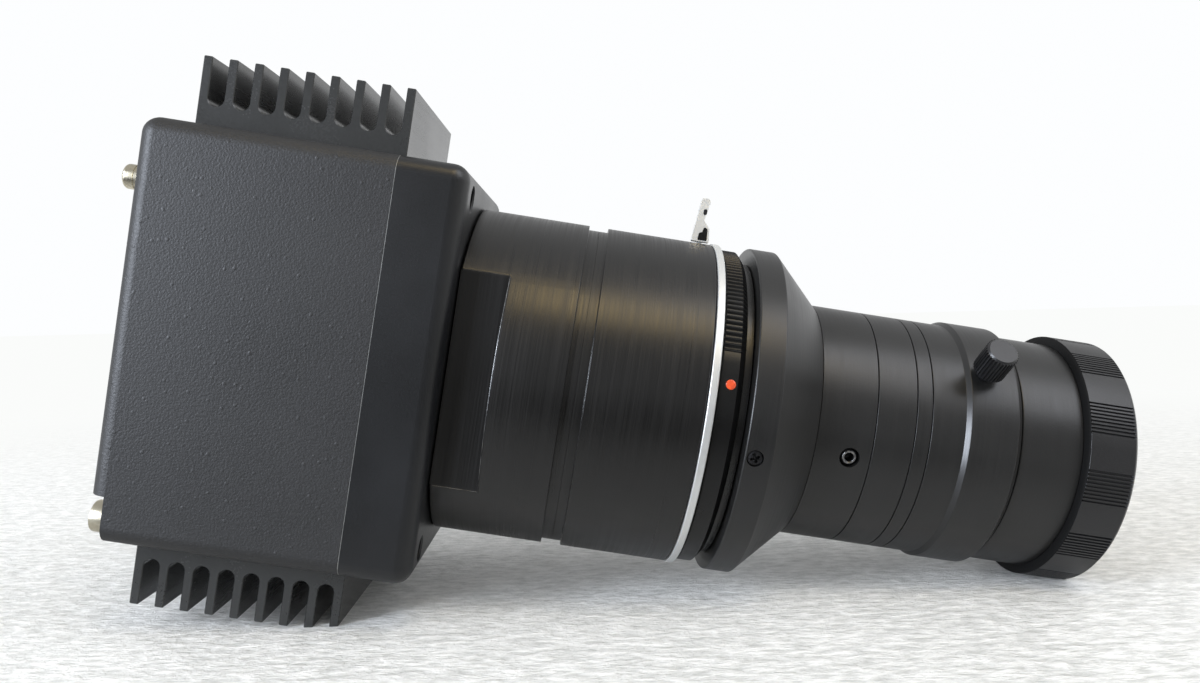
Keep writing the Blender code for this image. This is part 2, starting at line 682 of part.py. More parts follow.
def build_tube(metal):
    """Two-piece tube: wrench flats at the rear, a lever slot at the front."""
    rear = place("rear_tube", turned([
        (-SPIGOT_LENGTH, SPIGOT_BORE), (-SPIGOT_LENGTH, SPIGOT_RADIUS), (GAP, SPIGOT_RADIUS),
        (GAP, TUBE_RADIUS), (GROOVE_REAR, TUBE_RADIUS), (GROOVE_REAR, GROOVE_RADIUS),
        (GROOVE_SPLIT, GROOVE_RADIUS), (GROOVE_SPLIT, SLEEVE_RADIUS), (SLEEVE_FRONT, SLEEVE_RADIUS),
        (SLEEVE_FRONT, TUBE_BORE), (FLAT_FRONT + TUBE_BORE - FLAT_BORE, TUBE_BORE), (FLAT_FRONT, FLAT_BORE),
        (FLAT_BORE_REAR, FLAT_BORE), (FLAT_BORE_REAR, SPIGOT_BORE)], TUBE_SEGMENTS), metal)
    for _, sign in SIDES:
        flat_low, flat_high = sorted((sign * FLAT_DISTANCE, sign * (TUBE_RADIUS + PAST)))
        cut(rear, block((GAP - PAST, flat_low, -TUBE_RADIUS), (FLAT_FRONT, flat_high, TUBE_RADIUS)))
    joint = GROOVE_SPLIT + GAP
    sleeve_seat = SLEEVE_RADIUS + GAP
    front = place("front_tube", turned([
        (joint, sleeve_seat), (joint, GROOVE_RADIUS), (GROOVE_FRONT, GROOVE_RADIUS),
        (GROOVE_FRONT, TUBE_RADIUS), (TUBE_FRONT, TUBE_RADIUS), (TUBE_FRONT, MOUNT_BORE),
        (BAFFLE_FRONT, MOUNT_BORE), (BAFFLE_FRONT, BAFFLE_BORE), (BAFFLE_REAR, BAFFLE_BORE),
        (BAFFLE_REAR, sleeve_seat)], TUBE_SEGMENTS), metal)
    half = LEVER_WIDTH / 2 + LEVER_CLEARANCE
    cut(front, block((LEVER_REAR - LEVER_TRAVEL - LEVER_CLEARANCE, -half, MOUNT_BORE - 2 * PAST),
                     (TUBE_FRONT + PAST, half, TUBE_RADIUS + PAST)), rotation=upright_turn(LEVER_ANGLE))


def build_release(chrome, steel):
    """Bayonet ring, release lever, lock pin and the spring behind the lever."""
    ring = place("mount_ring", turned([
        (MOUNT_RING_REAR, BAYONET_BORE), (MOUNT_RING_REAR, MOUNT_RING_RADIUS),
        (MOUNT_RING_FRONT, MOUNT_RING_RADIUS), (MOUNT_RING_FRONT, BAYONET_BORE)], TUBE_SEGMENTS), chrome)
    past = (MOUNT_RING_REAR - PAST, MOUNT_RING_FRONT + PAST)
    for tab in TAB_ANGLES:
        cut(ring, sector(tab + NOTCH_OFFSET, NOTCH_WIDTH, BAYONET_BORE - PAST, BAYONET_NOTCH, *past))
    pin_spot = outward(LEVER_ANGLE) * PIN_DISTANCE
    cut(ring, rod(*past, PIN_HOLE), pin_spot)
    turn = upright_turn(LEVER_ANGLE)
    front = LEVER_REAR + LEVER_THICKNESS
    under_lip = LEVER_TOP - LEVER_THICKNESS
    half = LEVER_WIDTH / 2
    profile = [(LEVER_REAR, LEVER_FOOT), (front, LEVER_FOOT), (front, under_lip),
               (front + LEVER_LIP, under_lip), (front + LEVER_LIP, LEVER_TOP), (LEVER_REAR, LEVER_TOP)]
    lever = place("release_lever", along_y(profile, -half, half), chrome, rotation=turn)
    cut(lever, block((LEVER_REAR - PAST, -LEVER_HOLE_HALF_WIDTH, LEVER_HOLE[0]),
                     (front + PAST, LEVER_HOLE_HALF_WIDTH, LEVER_HOLE[1])), rotation=turn)
    place("lock_pin", rod(front + GAP, PIN_FRONT, PIN_RADIUS), steel, pin_spot)
    attach("lever_spring", spring_curve(steel), pin_spot)


def spring_curve(steel):
    """Coil between the tube's inner shoulder and the back of the lever."""
    length = LEVER_REAR - GAP - SPRING_REAR - 2 * SPRING_WIRE
    count = SPRING_TURNS * SPRING_POINTS
    curve = bpy.data.curves.new("lever_spring", 'CURVE')
    curve.dimensions = '3D'
    curve.bevel_depth = SPRING_WIRE * MM
    curve.bevel_resolution = 1
    curve.use_fill_caps = True
    spline = curve.splines.new('POLY')
    spline.points.add(count)
    for i, point in enumerate(spline.points):
        swing = tau * i / SPRING_POINTS
        x = SPRING_REAR + SPRING_WIRE + length * i / count
        point.co = (x * MM, SPRING_RADIUS * cos(swing) * MM, SPRING_RADIUS * sin(swing) * MM, 1.0)
    curve.materials.append(steel)
    return curve


def grip_marks():
    """Angles round the adapter ring: flat-topped bars in the grip spans, plain between."""
    marks = []
    angle = 0.0
    while angle < 360.0:
        if any(low <= angle < high for low, high in GRIP_SPANS):
            marks += [(angle, False), (angle + GRIP_BAR, False), (angle + (GRIP_BAR + GRIP_PITCH) / 2, True)]
            angle += GRIP_PITCH
        else:
            marks.append((angle, False))
            angle += PLAIN_STEP
    return marks


def build_adapter(black):
    """Adapter ring: bayonet tabs behind, finger grip outside, lens thread in front."""
    adapter = place("adapter_ring", along_x(toothed(ADAPTER_RADIUS, GRIP_DEPTH, grip_marks()),
                                            ADAPTER_REAR, ADAPTER_FRONT), black)
    add(adapter, turned([(TAB_REAR, 0.0), (TAB_REAR, BAYONET_TAB), (TAB_FRONT, BAYONET_TAB),
                         (TAB_FRONT, BAYONET_NECK), (ADAPTER_REAR + PAST, BAYONET_NECK),
                         (ADAPTER_REAR + PAST, 0.0)], TUBE_SEGMENTS))
    add(adapter, rod(ADAPTER_FRONT - PAST, THREAD_FRONT, THREAD_RADIUS, TUBE_SEGMENTS))
    cut(adapter, rod(TAB_REAR - PAST, THREAD_FRONT + PAST, ADAPTER_BORE, TUBE_SEGMENTS))
    for tab in TAB_ANGLES:
        cut(adapter, sector(tab + NOTCH_OFFSET, 2 * NOTCH_OFFSET - TAB_WIDTH, BAYONET_NECK + TAB_CLEARANCE,
                            BAYONET_TAB + PAST, TAB_REAR - PAST, TAB_FRONT + TAB_CLEARANCE))
    cut(adapter, rod(ADAPTER_REAR - PAST, PIN_FRONT + GAP, PIN_HOLE), outward(LEVER_ANGLE) * PIN_DISTANCE)
    spacer_rear = ADAPTER_FRONT + GAP
    bore = THREAD_RADIUS + GAP
    place("spacer_ring", turned([
        (spacer_rear, bore), (spacer_rear, SPACER_RADIUS), (SPACER_FRONT, SPACER_RADIUS),
        (SPACER_FRONT, bore)], TUBE_SEGMENTS), black)


def build_barrels(black, steel):
    """Lens flange and the barrel rings, with their radial screws."""
    recess = THREAD_RADIUS + GAP
    edge = FLANGE_RADIUS - FLANGE_EDGE
    flange = place("lens_flange", turned([
        (FLANGE_REAR, recess), (FLANGE_REAR, edge), (FLANGE_REAR + FLANGE_EDGE, FLANGE_RADIUS),
        (FLANGE_FRONT, FLANGE_RADIUS), (CONE_FRONT, BARREL_RADIUS), (CONE_FRONT, LENS_SPIGOT),
        (LENS_SPIGOT_FRONT, LENS_SPIGOT), (LENS_SPIGOT_FRONT, LIGHT_BORE), (LIGHT_BORE_REAR, LIGHT_BORE),
        (FLANGE_RECESS_FRONT, THROAT_RADIUS), (FLANGE_RECESS_FRONT, recess)], TUBE_SEGMENTS), black)
    barrel_rear = CONE_FRONT + GAP
    barrel_front = RING_ONE_REAR - GAP
    spigot_end = LENS_SPIGOT_FRONT + GAP
    spigot_seat = LENS_SPIGOT + GAP
    barrel = place("rear_barrel", turned([
        (barrel_rear, spigot_seat), (barrel_rear, BARREL_RADIUS), (barrel_front, BARREL_RADIUS),
        (barrel_front, STACK_RADIUS), (REAR_STACK_FRONT, STACK_RADIUS), (REAR_STACK_FRONT, STACK_BORE),
        (spigot_end, STACK_BORE), (spigot_end, spigot_seat)], LENS_SEGMENTS), black)
    flange_top = FLANGE_RADIUS - RADIAL_SCREW_SINK
    set_top = BARREL_RADIUS - RADIAL_SCREW_SINK
    cross = quarters([(CROSS_ARM, CROSS_HALF_WIDTH), (CROSS_HALF_WIDTH, CROSS_HALF_WIDTH),
                      (CROSS_HALF_WIDTH, CROSS_ARM)])
    for number, angle in enumerate(RADIAL_SCREW_ANGLES, 1):
        turn = radial_turn(angle)
        spot = (FLANGE_SCREW_X, 0.0, 0.0)
        cut(flange, rod(recess - PAST, FLANGE_RADIUS + PAST, FLANGE_SCREW_RADIUS + GAP), spot, turn)
        drive = along_x(cross, flange_top - CROSS_DEPTH, flange_top + PAST)
        place_radial_screw(f"flange_screw_{number}", FLANGE_SCREW_TIP, flange_top, FLANGE_SCREW_RADIUS,
                           drive, steel, spot, turn)
        spot = (SET_SCREW_X, 0.0, 0.0)
        cut(barrel, rod(LENS_SPIGOT, BARREL_RADIUS + PAST, SET_SCREW_RADIUS + GAP), spot, turn)
        drive = rod(set_top - SOCKET_DEPTH, set_top + PAST, SET_SOCKET, HEX_SIDES)
        place_radial_screw(f"set_screw_{number}", SET_SCREW_TIP, set_top, SET_SCREW_RADIUS,
                           drive, steel, spot, turn)
    stack_seat = STACK_RADIUS + GAP
    ring_front = RING_TWO_REAR - GAP
    place("barrel_ring_one", turned([
        (RING_ONE_REAR, stack_seat), (RING_ONE_REAR, BARREL_RADIUS), (ring_front, BARREL_RADIUS),
        (ring_front, STACK_RADIUS), (FRONT_STACK_FRONT, STACK_RADIUS), (FRONT_STACK_FRONT, STACK_BORE),
        (REAR_STACK_FRONT + GAP, STACK_BORE), (REAR_STACK_FRONT + GAP, stack_seat)], LENS_SEGMENTS), black)
    place("barrel_ring_two", turned([
        (RING_TWO_REAR, stack_seat), (RING_TWO_REAR, BARREL_RADIUS), (COLLAR_REAR - GAP, BARREL_RADIUS),
        (COLLAR_REAR - GAP, stack_seat)], LENS_SEGMENTS), black)


def build_focus(black, grip):
    """Focus collar with its lock screw, and the barrel and front ring that turn in it."""
    bore = SKIRT_RADIUS + GAP
    web = CELL_RADIUS + GAP
    seat = STACK_RADIUS + GAP
    shoulder_front = COLLAR_SHOULDER + COLLAR_SHOULDER_WIDTH
    collar = place("focus_collar", turned([
        (COLLAR_REAR, seat), (COLLAR_REAR, BARREL_RADIUS), (COLLAR_SHOULDER, BARREL_RADIUS),
        (shoulder_front, COLLAR_RADIUS), (COLLAR_FRONT - COLLAR_EDGE, COLLAR_RADIUS),
        (COLLAR_FRONT, COLLAR_RADIUS - COLLAR_EDGE), (COLLAR_FRONT, bore), (COLLAR_WEB_FRONT, bore),
        (COLLAR_WEB_FRONT, web), (COLLAR_WEB_REAR, web), (COLLAR_WEB_REAR, seat)], LENS_SEGMENTS), black)
    add(collar, block((COLLAR_WEB_REAR + GAP, KEY_TIP, -KEY_HALF_WIDTH),
                      (COLLAR_WEB_FRONT - GAP, CELL_RADIUS + PAST, KEY_HALF_WIDTH)))
    turn = radial_turn(THUMBSCREW_ANGLE)
    spot = (THUMBSCREW_X, 0.0, 0.0)
    cut(collar, rod(SKIRT_RADIUS, COLLAR_RADIUS + PAST, THUMBSCREW_SHANK + GAP), spot, turn)
    teeth = [(360.0 * i / (2 * THUMBSCREW_TEETH), i % 2 == 1) for i in range(2 * THUMBSCREW_TEETH)]
    head = COLLAR_RADIUS + THUMBSCREW_NECK
    knurl = toothed(THUMBSCREW_RADIUS, THUMBSCREW_TOOTH, teeth)
    thumbscrew = place("thumbscrew", along_x(knurl, head, THUMBSCREW_TOP), grip, spot, turn)
    add(thumbscrew, rod(bore, head + PAST, THUMBSCREW_SHANK), spot, turn)
    barrel_rear = COLLAR_FRONT + GAP
    edge = FRONT_BARREL_RADIUS - FRONT_BARREL_EDGE
    place("front_barrel", turned([
        (SKIRT_REAR, FRONT_BARREL_BORE), (SKIRT_REAR, SKIRT_RADIUS), (barrel_rear, SKIRT_RADIUS),
        (barrel_rear, edge), (barrel_rear + FRONT_BARREL_EDGE, FRONT_BARREL_RADIUS),
        (FRONT_BARREL_FRONT, FRONT_BARREL_RADIUS), (FRONT_BARREL_FRONT, RING_SEAT_RADIUS),
        (RING_SEAT_FRONT, RING_SEAT_RADIUS), (RING_SEAT_FRONT, FRONT_BARREL_BORE)], LENS_SEGMENTS), black)
    ring = place("front_ring", front_ring_shape(), grip)
    ring_bore = RING_SEAT_RADIUS + GAP
    lip_rear = RING_SEAT_FRONT + GAP
    behind = FRONT_RING_REAR - PAST
    ahead = FRONT_RING_FRONT + PAST
    cut(ring, turned([
        (behind, 0.0), (behind, ring_bore), (lip_rear, ring_bore), (lip_rear, FRONT_RING_LIP),
        (ahead, FRONT_RING_LIP), (ahead, 0.0)], LENS_SEGMENTS))


def front_ring_shape():
    """Grip ring with knurled patches between smooth ones, and a tapered shoulder behind."""
    span = 180.0 / KNURL_PATCHES
    marks = []
    for patch in range(KNURL_PATCHES):
        start = KNURL_CENTRE + (2 * patch - 0.5) * span
        for half_step in range(2 * KNURL_GROOVES + 1):
            marks.append((start + span * half_step / (2 * KNURL_GROOVES), half_step % 2 == 1))
        marks.append((start + 1.5 * span, False))
    levels = ((FRONT_RING_REAR, FRONT_RING_RADIUS - FRONT_RING_STEP, 0.0),
              (FRONT_RING_REAR + FRONT_RING_SHOULDER, FRONT_RING_RADIUS, KNURL_DEPTH),
              (FRONT_RING_FRONT - FRONT_RING_EDGE, FRONT_RING_RADIUS, KNURL_DEPTH),
              (FRONT_RING_FRONT, FRONT_RING_RADIUS - FRONT_RING_EDGE, 0.0))
    shape = bmesh.new()
    rings = []
    for x, radius, depth in levels:
        rings.append([shape.verts.new((x, y, z)) for y, z in toothed(radius, depth, marks)])
    close(shape, rings)
    return shape


def build_optics(black, clear):
    """Sliding lens cell with its keyway, three lens elements and two retaining rings."""
    cell = place("lens_cell", turned([
        (CELL_REAR, REAR_SEAT), (CELL_REAR, CELL_RADIUS), (HELICOID_REAR, CELL_RADIUS),
        (HELICOID_REAR, HELICOID_RADIUS), (CELL_FRONT, HELICOID_RADIUS), (CELL_FRONT, FRONT_SEAT),
        (FRONT_SEAT_REAR, FRONT_SEAT), (FRONT_SEAT_REAR, INNER_SEAT), (INNER_SEAT_REAR, INNER_SEAT),
        (INNER_SEAT_REAR, STOP_RADIUS), (STOP_REAR, STOP_RADIUS), (REAR_SEAT_FRONT, REAR_SEAT_LIP),
        (REAR_SEAT_FRONT, REAR_SEAT)], CELL_SEGMENTS), black)
    cut(cell, block((COLLAR_WEB_REAR - FOCUS_TRAVEL - PAST, KEY_TIP - GAP, -KEY_HALF_WIDTH - GAP),
                    (COLLAR_WEB_FRONT + PAST, CELL_RADIUS + PAST, KEY_HALF_WIDTH + GAP)))
    rear_radius = REAR_SEAT - GAP
    inner_radius = INNER_SEAT - GAP
    front_radius = FRONT_SEAT - GAP
    place("rear_element", glass(REAR_ELEMENT_EDGE, REAR_SEAT_FRONT - GAP, rear_radius,
                                REAR_ELEMENT_SAG, 0.0), clear)
    place("inner_element", glass(INNER_SEAT_REAR + GAP, INNER_ELEMENT_EDGE, inner_radius,
                                 0.0, INNER_ELEMENT_SAG), clear)
    place("front_element", glass(FRONT_SEAT_REAR + GAP, FRONT_ELEMENT_EDGE, front_radius,
                                 FRONT_ELEMENT_HOLLOW, FRONT_ELEMENT_SAG), clear)
    place("rear_retaining_ring", retaining_ring(REAR_RETAINER, rear_radius), black)
    place("front_retaining_ring", retaining_ring(FRONT_RETAINER, front_radius), black)


def retaining_ring(ends, radius):
    """Threaded ring that holds an element in its seat: each end is its x and its bore's radius."""
    (x_low, bore_low), (x_high, bore_high) = ends
    return turned([(x_low, bore_low), (x_low, radius), (x_high, radius), (x_high, bore_high)], CELL_SEGMENTS)


def main():
    """Build the whole camera."""
    clear_scene()
    axis_frame = bpy.data.objects.new(AXIS_NAME, None)
    bpy.context.scene.collection.objects.link(axis_frame)
    axis_frame.location = Vector(AXIS_PLACE) * MM

    housing_metal = finish("textured black anodising", (0.022, 0.022, 0.024), 0.5, 0.4)
    plate_metal = finish("satin black anodising", (0.02, 0.02, 0.024), 0.4, 0.4)
    cooler_metal = finish("matt black anodising", (0.025, 0.025, 0.025), 0.55, 0.4)
    tube_metal = finish("turned black anodising", (0.018, 0.018, 0.019), 0.35, 0.5)
    lens_black = finish("semi-gloss black lens finish", (0.016, 0.016, 0.016), 0.35, 0.4)
    grip_black = finish("black grip finish", (0.02, 0.02, 0.021), 0.45, 0.4)
    chrome = finish("bright chrome", (0.75, 0.77, 0.78), 0.18, 1.0)
    steel = finish("blackened steel", (0.05, 0.05, 0.05), 0.35, 1.0)
    nickel = finish("nickel plate", (0.62, 0.6, 0.52), 0.25, 1.0)
    clear = finish("coated glass", (0.55, 0.6, 0.65), 0.03, 0.0)
    green = finish("green circuit board", (0.01, 0.09, 0.03), 0.5, 0.0)
    ceramic = finish("dark ceramic", (0.05, 0.045, 0.05), 0.4, 0.0)
    plastic = finish("black plastic", (0.02, 0.02, 0.02), 0.5, 0.0)
    lamp_green = finish("green lamp", (0.05, 0.4, 0.08), 0.2, 0.0)

    housing = build_housing(housing_metal, nickel)
    build_plate(plate_metal, steel)
    build_coolers(cooler_metal, steel, housing)
    build_boards(green, ceramic, plastic, clear, steel)
    build_connectors(green, nickel, lamp_green)
    build_tube(tube_metal)
    build_release(chrome, steel)
    build_adapter(grip_black)
    build_barrels(lens_black, steel)
    build_focus(lens_black, grip_black)
    build_optics(lens_black, clear)


main()
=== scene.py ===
"""Finished looks of the line-scan camera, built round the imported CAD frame.

Shapes are in millimetres in the camera's own axes: X runs along the optical axis
towards the lens, with x = 0 on the front plate's face, and Z is up. An angle
round the axis is counted from -Y, so 90 degrees is straight up.
"""
import json
import logging
from collections.abc import Sequence
from dataclasses import dataclass
from enum import Enum
from math import cos, degrees, radians, sin

import bmesh
import bpy
import numpy as np
from mathutils import Matrix, Vector

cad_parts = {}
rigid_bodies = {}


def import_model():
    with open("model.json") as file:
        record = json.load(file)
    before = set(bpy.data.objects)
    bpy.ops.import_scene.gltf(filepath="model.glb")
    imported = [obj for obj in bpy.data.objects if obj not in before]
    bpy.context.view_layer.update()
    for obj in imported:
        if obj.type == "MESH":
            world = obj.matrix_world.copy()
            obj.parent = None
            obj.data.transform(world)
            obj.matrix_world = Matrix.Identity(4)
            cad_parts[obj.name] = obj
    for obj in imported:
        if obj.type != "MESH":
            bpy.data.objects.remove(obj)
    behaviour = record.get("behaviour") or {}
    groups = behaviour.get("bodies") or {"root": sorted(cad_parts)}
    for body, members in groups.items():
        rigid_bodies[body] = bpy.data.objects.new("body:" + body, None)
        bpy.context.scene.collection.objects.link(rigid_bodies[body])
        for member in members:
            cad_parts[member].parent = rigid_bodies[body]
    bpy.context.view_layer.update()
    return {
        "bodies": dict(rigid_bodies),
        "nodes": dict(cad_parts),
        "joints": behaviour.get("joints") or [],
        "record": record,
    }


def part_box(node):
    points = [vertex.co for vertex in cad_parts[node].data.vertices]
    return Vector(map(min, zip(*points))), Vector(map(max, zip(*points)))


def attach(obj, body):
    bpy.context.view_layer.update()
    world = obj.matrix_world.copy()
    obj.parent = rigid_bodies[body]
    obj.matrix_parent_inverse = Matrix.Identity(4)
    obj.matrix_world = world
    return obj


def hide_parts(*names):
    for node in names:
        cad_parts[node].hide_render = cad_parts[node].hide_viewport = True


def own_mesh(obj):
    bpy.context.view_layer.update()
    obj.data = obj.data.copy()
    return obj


LOG = logging.getLogger("camera")
MM = 0.001
# Points closer than this many metres become one
MERGE = 0.000002
# Edges that turn by more than this are shaded as sharp
SHARP = radians(32)
# Share of its scale that a pattern of lines keeps along the lines
LINE_STRETCH = 0.006
SIDES = {"near": -1.0, "far": 1.0}
# Places that several sub-assemblies share, as x, an angle, a radius, or (y, z) from the optical axis
REAR_FACE = -55.0
DATA_SOCKET = (0.0, 25.7)
POWER_SOCKET = (-8.0, -8.0)
STATUS_LAMP = (12.0, -8.0)
POST = (23.0, 25.7)
RELIEF_SCREW = (25.0, -32.6)
PLATE_SCREW = (22.0, 31.0)
LEVER_ANGLE = 100.0
BARREL = 22.72

Corners = Sequence[tuple[float, float, float]]
ByAngle = Sequence[tuple[slice | np.ndarray, np.ndarray]]


class Along(Enum):
    """Axis that an outline is carried along."""

    X = 0
    Y = 1


class Body(Enum):
    """Moving bodies of the frame."""

    CAMERA = "camera_body"
    RELEASE = "release"
    LOCK_SCREW = "lock_screw"
    CARRIAGE = "focus_carriage"
    BARREL = "focus_barrel"


class Pattern(Enum):
    """How the fine marks of a surface are laid."""

    GRAIN = "even specks"
    NODULES = "separate small bumps"
    TURNED = "lines round the optical axis"
    DRAWN = "lines across the camera"
    CLOUD = "wide soft patches"
    TRACKS = "square tracks"


# Shapes


@dataclass(frozen=True)
class Shape:
    """Closed surface: points in millimetres, and faces as lists of point numbers."""

    points: np.ndarray
    faces: list[list[int]]

    def put(self, turn: np.ndarray, place: Sequence[float] = (0.0, 0.0, 0.0)) -> "Shape":
        """Turn the shape by a 3 by 3 matrix, then move it to a place."""
        return Shape(self.points @ turn.T + np.asarray(place, float), self.faces)

    def at(self, x: float, y: float, z: float) -> "Shape":
        """Move the shape without turning it."""
        return self.put(np.eye(3), (x, y, z))


def joined(shapes: Sequence[Shape]) -> Shape:
    """Put several separate shapes into one.

    Args:
        shapes: the shapes, in any order.

    Returns:
        One shape that holds all their points and faces.
    """
    faces: list[list[int]] = []
    start = 0
    for shape in shapes:
        faces += [[number + start for number in face] for face in shape.faces]
        start += len(shape.points)
    return Shape(np.concatenate([shape.points for shape in shapes]), faces)


def loft(rings: np.ndarray, capped: bool = True) -> Shape:
    """Skin a stack of closed rings: each point joins its neighbour in the row and in the next row.

    Args:
        rings: grid of points, rows by columns by 3.
        capped: close both ends with a flat face, or else join the last row to the first.

    Returns:
        The closed surface.
    """
    rows, columns = rings.shape[:2]
    row, column = np.meshgrid(np.arange(rows - 1 if capped else rows), np.arange(columns), indexing="ij")
    beside = (column + 1) % columns
    below = (row + 1) % rows * columns
    here = row * columns
    quads = np.stack([here + column, here + beside, below + beside, below + column], -1)
    faces = quads.reshape(-1, 4).tolist()
    if capped:
        faces += [list(range(columns))[::-1], list(range((rows - 1) * columns, rows * columns))]
    return Shape(rings.reshape(-1, 3), faces)


def circle(count: int) -> np.ndarray:
    """Evenly spaced angles in degrees."""
    return np.arange(count) * (360.0 / count)


def lathe(profile: np.ndarray, angles: np.ndarray | int, radii: ByAngle = (), levels: ByAngle = ()) -> Shape:
    """Turn a closed profile about X: (x, r) at angle a goes to (x, -r cos a, r sin a).

    Args:
        profile: rows of (x, radius).
        angles: degrees, in order round the axis, or how many to space evenly.
        radii: rows whose radius goes by the angle, with the radii, for teeth, flats and sockets.
        levels: rows whose x goes by the angle, with the x.

    Returns:
        The closed ring, or a solid where the profile reaches the axis.
    """
    turn = circle(angles) if isinstance(angles, int) else angles
    x, angle = np.meshgrid(profile[:, 0], turn, indexing="ij")
    reach = np.repeat(profile[:, 1:], len(turn), 1)
    for grid, changes in ((reach, radii), (x, levels)):
        for rows, values in changes:
            grid[rows] = values
    swing = np.radians(angle)
    return loft(np.stack([x, -reach * np.cos(swing), reach * np.sin(swing)], -1), capped=False)


def rounded(corners: Corners, steps: int = 4) -> np.ndarray:
    """Round the corners of a closed outline.

    Each corner (u, v, radius) becomes an arc that touches both of its sides. The arc's
    centre lies on the corner's bisector, at the radius over the sine of half the corner's
    angle, and its points swing evenly from one side to the other. An arc takes up less than
    half of the shorter side, and points within a micron of each other become one.

    Args:
        corners: the outline's corners in order.
        steps: pieces in each arc.

    Returns:
        Rows of (u, v).
    """
    data = np.asarray(corners, float)
    point = data[:, :2]
    back = np.roll(point, 1, 0) - point
    ahead = np.roll(point, -1, 0) - point
    shorter = np.minimum(np.linalg.norm(back, axis=1), np.linalg.norm(ahead, axis=1))
    back /= np.linalg.norm(back, axis=1)[:, None]
    ahead /= np.linalg.norm(ahead, axis=1)[:, None]
    half = 0.5 * np.arccos(np.clip((back * ahead).sum(1), -0.999999, 0.999999))
    reach = np.minimum(data[:, 2] / np.tan(half), 0.49 * shorter)
    middle = back + ahead
    middle /= np.linalg.norm(middle, axis=1)[:, None]
    centre = point + middle * (reach * np.tan(half) / np.sin(half))[:, None]
    sweep = (np.pi - 2 * half)[:, None]
    share = np.linspace(0.0, 1.0, steps + 1)[None, :]
    first = (np.sin((1 - share) * sweep) / np.sin(sweep))[..., None]
    last = (np.sin(share * sweep) / np.sin(sweep))[..., None]
    start = (point + back * reach[:, None] - centre)[:, None]
    end = (point + ahead * reach[:, None] - centre)[:, None]
    arcs = (centre[:, None] + start * first + end * last).reshape(-1, 2)
    return arcs[np.linalg.norm(arcs - np.roll(arcs, 1, 0), axis=1) > 0.001]


def inset(outline: np.ndarray, amount: float) -> np.ndarray:
    """Move a closed outline inwards: twice the amount along the two sides' summed normals, over its square.

    Args:
        outline: rows of (u, v).
        amount: distance in millimetres.

    Returns:
        The moved outline, with as many points.
    """
    following = np.roll(outline, -1, 0)
    ahead = following - outline
    area = (outline[:, 0] * following[:, 1] - following[:, 0] * outline[:, 1]).sum()
    ahead /= np.linalg.norm(ahead, axis=1)[:, None]
    normal = np.stack([-ahead[:, 1], ahead[:, 0]], 1) * np.sign(area)
    summed = normal + np.roll(normal, 1, 0)
    return outline + summed * (2 * amount / (summed * summed).sum(1))[:, None]


def stacked(rows: Sequence[tuple[np.ndarray, float]], along: Along, capped: bool = True) -> Shape:
    """Skin outlines that each lie at a level of an axis."""
    return loft(np.stack([np.insert(ring, along.value, level, axis=1) for ring, level in rows]), capped)


def prism(outline: np.ndarray, low: float, high: float, along: Along, chamfer: float = 0.0) -> Shape:
    """Carry an outline along an axis, with a chamfer round both ends.

    Args:
        outline: rows of the two other coordinates.
        low: first level.
        high: last level.
        along: the axis.
        chamfer: size of the chamfer, or 0 for square ends.

    Returns:
        The closed prism.
    """
    if chamfer == 0.0:
        return stacked(((outline, low), (outline, high)), along)
    narrow = inset(outline, chamfer)
    sides = ((outline, low + chamfer), (outline, high - chamfer))
    return stacked(((narrow, low), *sides, (narrow, high)), along)


def box_outline(half_u: float, half_v: float, radius: float, steps: int = 6) -> np.ndarray:
    """Outline of a rectangle about the origin with round corners."""
    signs = ((1, -1), (1, 1), (-1, 1), (-1, -1))
    return rounded([(half_u * u, half_v * v, radius) for u, v in signs], steps)


def block(low: Sequence[float], high: Sequence[float]) -> Shape:
    """Square-edged cutter between two corners."""
    outline = np.array([(low[1], low[2]), (high[1], low[2]), (high[1], high[2]), (low[1], high[2])])
    return prism(outline, low[0], high[0], Along.X)


def rod(x_low: float, x_high: float, radius: float, count: int = 32) -> Shape:
    """Plain round cutter along X."""
    return lathe(np.array([(x_low, 0.0), (x_high, 0.0), (x_high, radius), (x_low, radius)]), count)


def from_nearest(angle: np.ndarray, first: float, count: int) -> np.ndarray:
    """Angle from the nearest of evenly spaced directions: a step's remainder, counted from its middle."""
    step = 360.0 / count
    return np.abs((angle - first + step / 2) % step - step / 2)


def many_sided(angle: np.ndarray, flat: float, sides: int = 6) -> np.ndarray:
    """Radius of a regular polygon: its flat's distance over the cosine from the flat's middle."""
    return flat / np.cos(np.radians(from_nearest(angle, 0.0, sides)))


def outward(angle: float) -> np.ndarray:
    """Unit vector from the optical axis towards an angle."""
    return np.array([0.0, -cos(radians(angle)), sin(radians(angle))])


# The lock pin's axis runs inside the tube, in line with the lever
LOCK_PIN = outward(LEVER_ANGLE) * 25.5


def radial_turn(angle: float) -> np.ndarray:
    """Turn that lays local X outwards at an angle, and local Y along the optical axis."""
    forward = np.array([1.0, 0.0, 0.0])
    return np.stack([outward(angle), forward, np.cross(outward(angle), forward)], 1)


def upright_turn(angle: float) -> np.ndarray:
    """Turn about the optical axis that brings local Z to an angle."""
    forward = np.array([1.0, 0.0, 0.0])
    return np.stack([forward, np.cross(outward(angle), forward), outward(angle)], 1)


def thread(x_low: float, x_high: float, radius: float, pitch: float, depth: float) -> np.ndarray:
    """Profile points of a thread drawn as ridges: the radius goes from crest to root and back each pitch.

    Args:
        x_low: where it starts.
        x_high: where it ends.
        radius: the crest.
        pitch: distance between crests.
        depth: from crest to root, negative for a thread in a bore.

    Returns:
        Rows of (x, radius), in order of x.
    """
    count = 2 * max(1, round((x_high - x_low) / pitch))
    x = np.linspace(x_low, x_high, count + 1)
    return np.stack([x, radius - depth * (np.arange(count + 1) % 2)], 1)


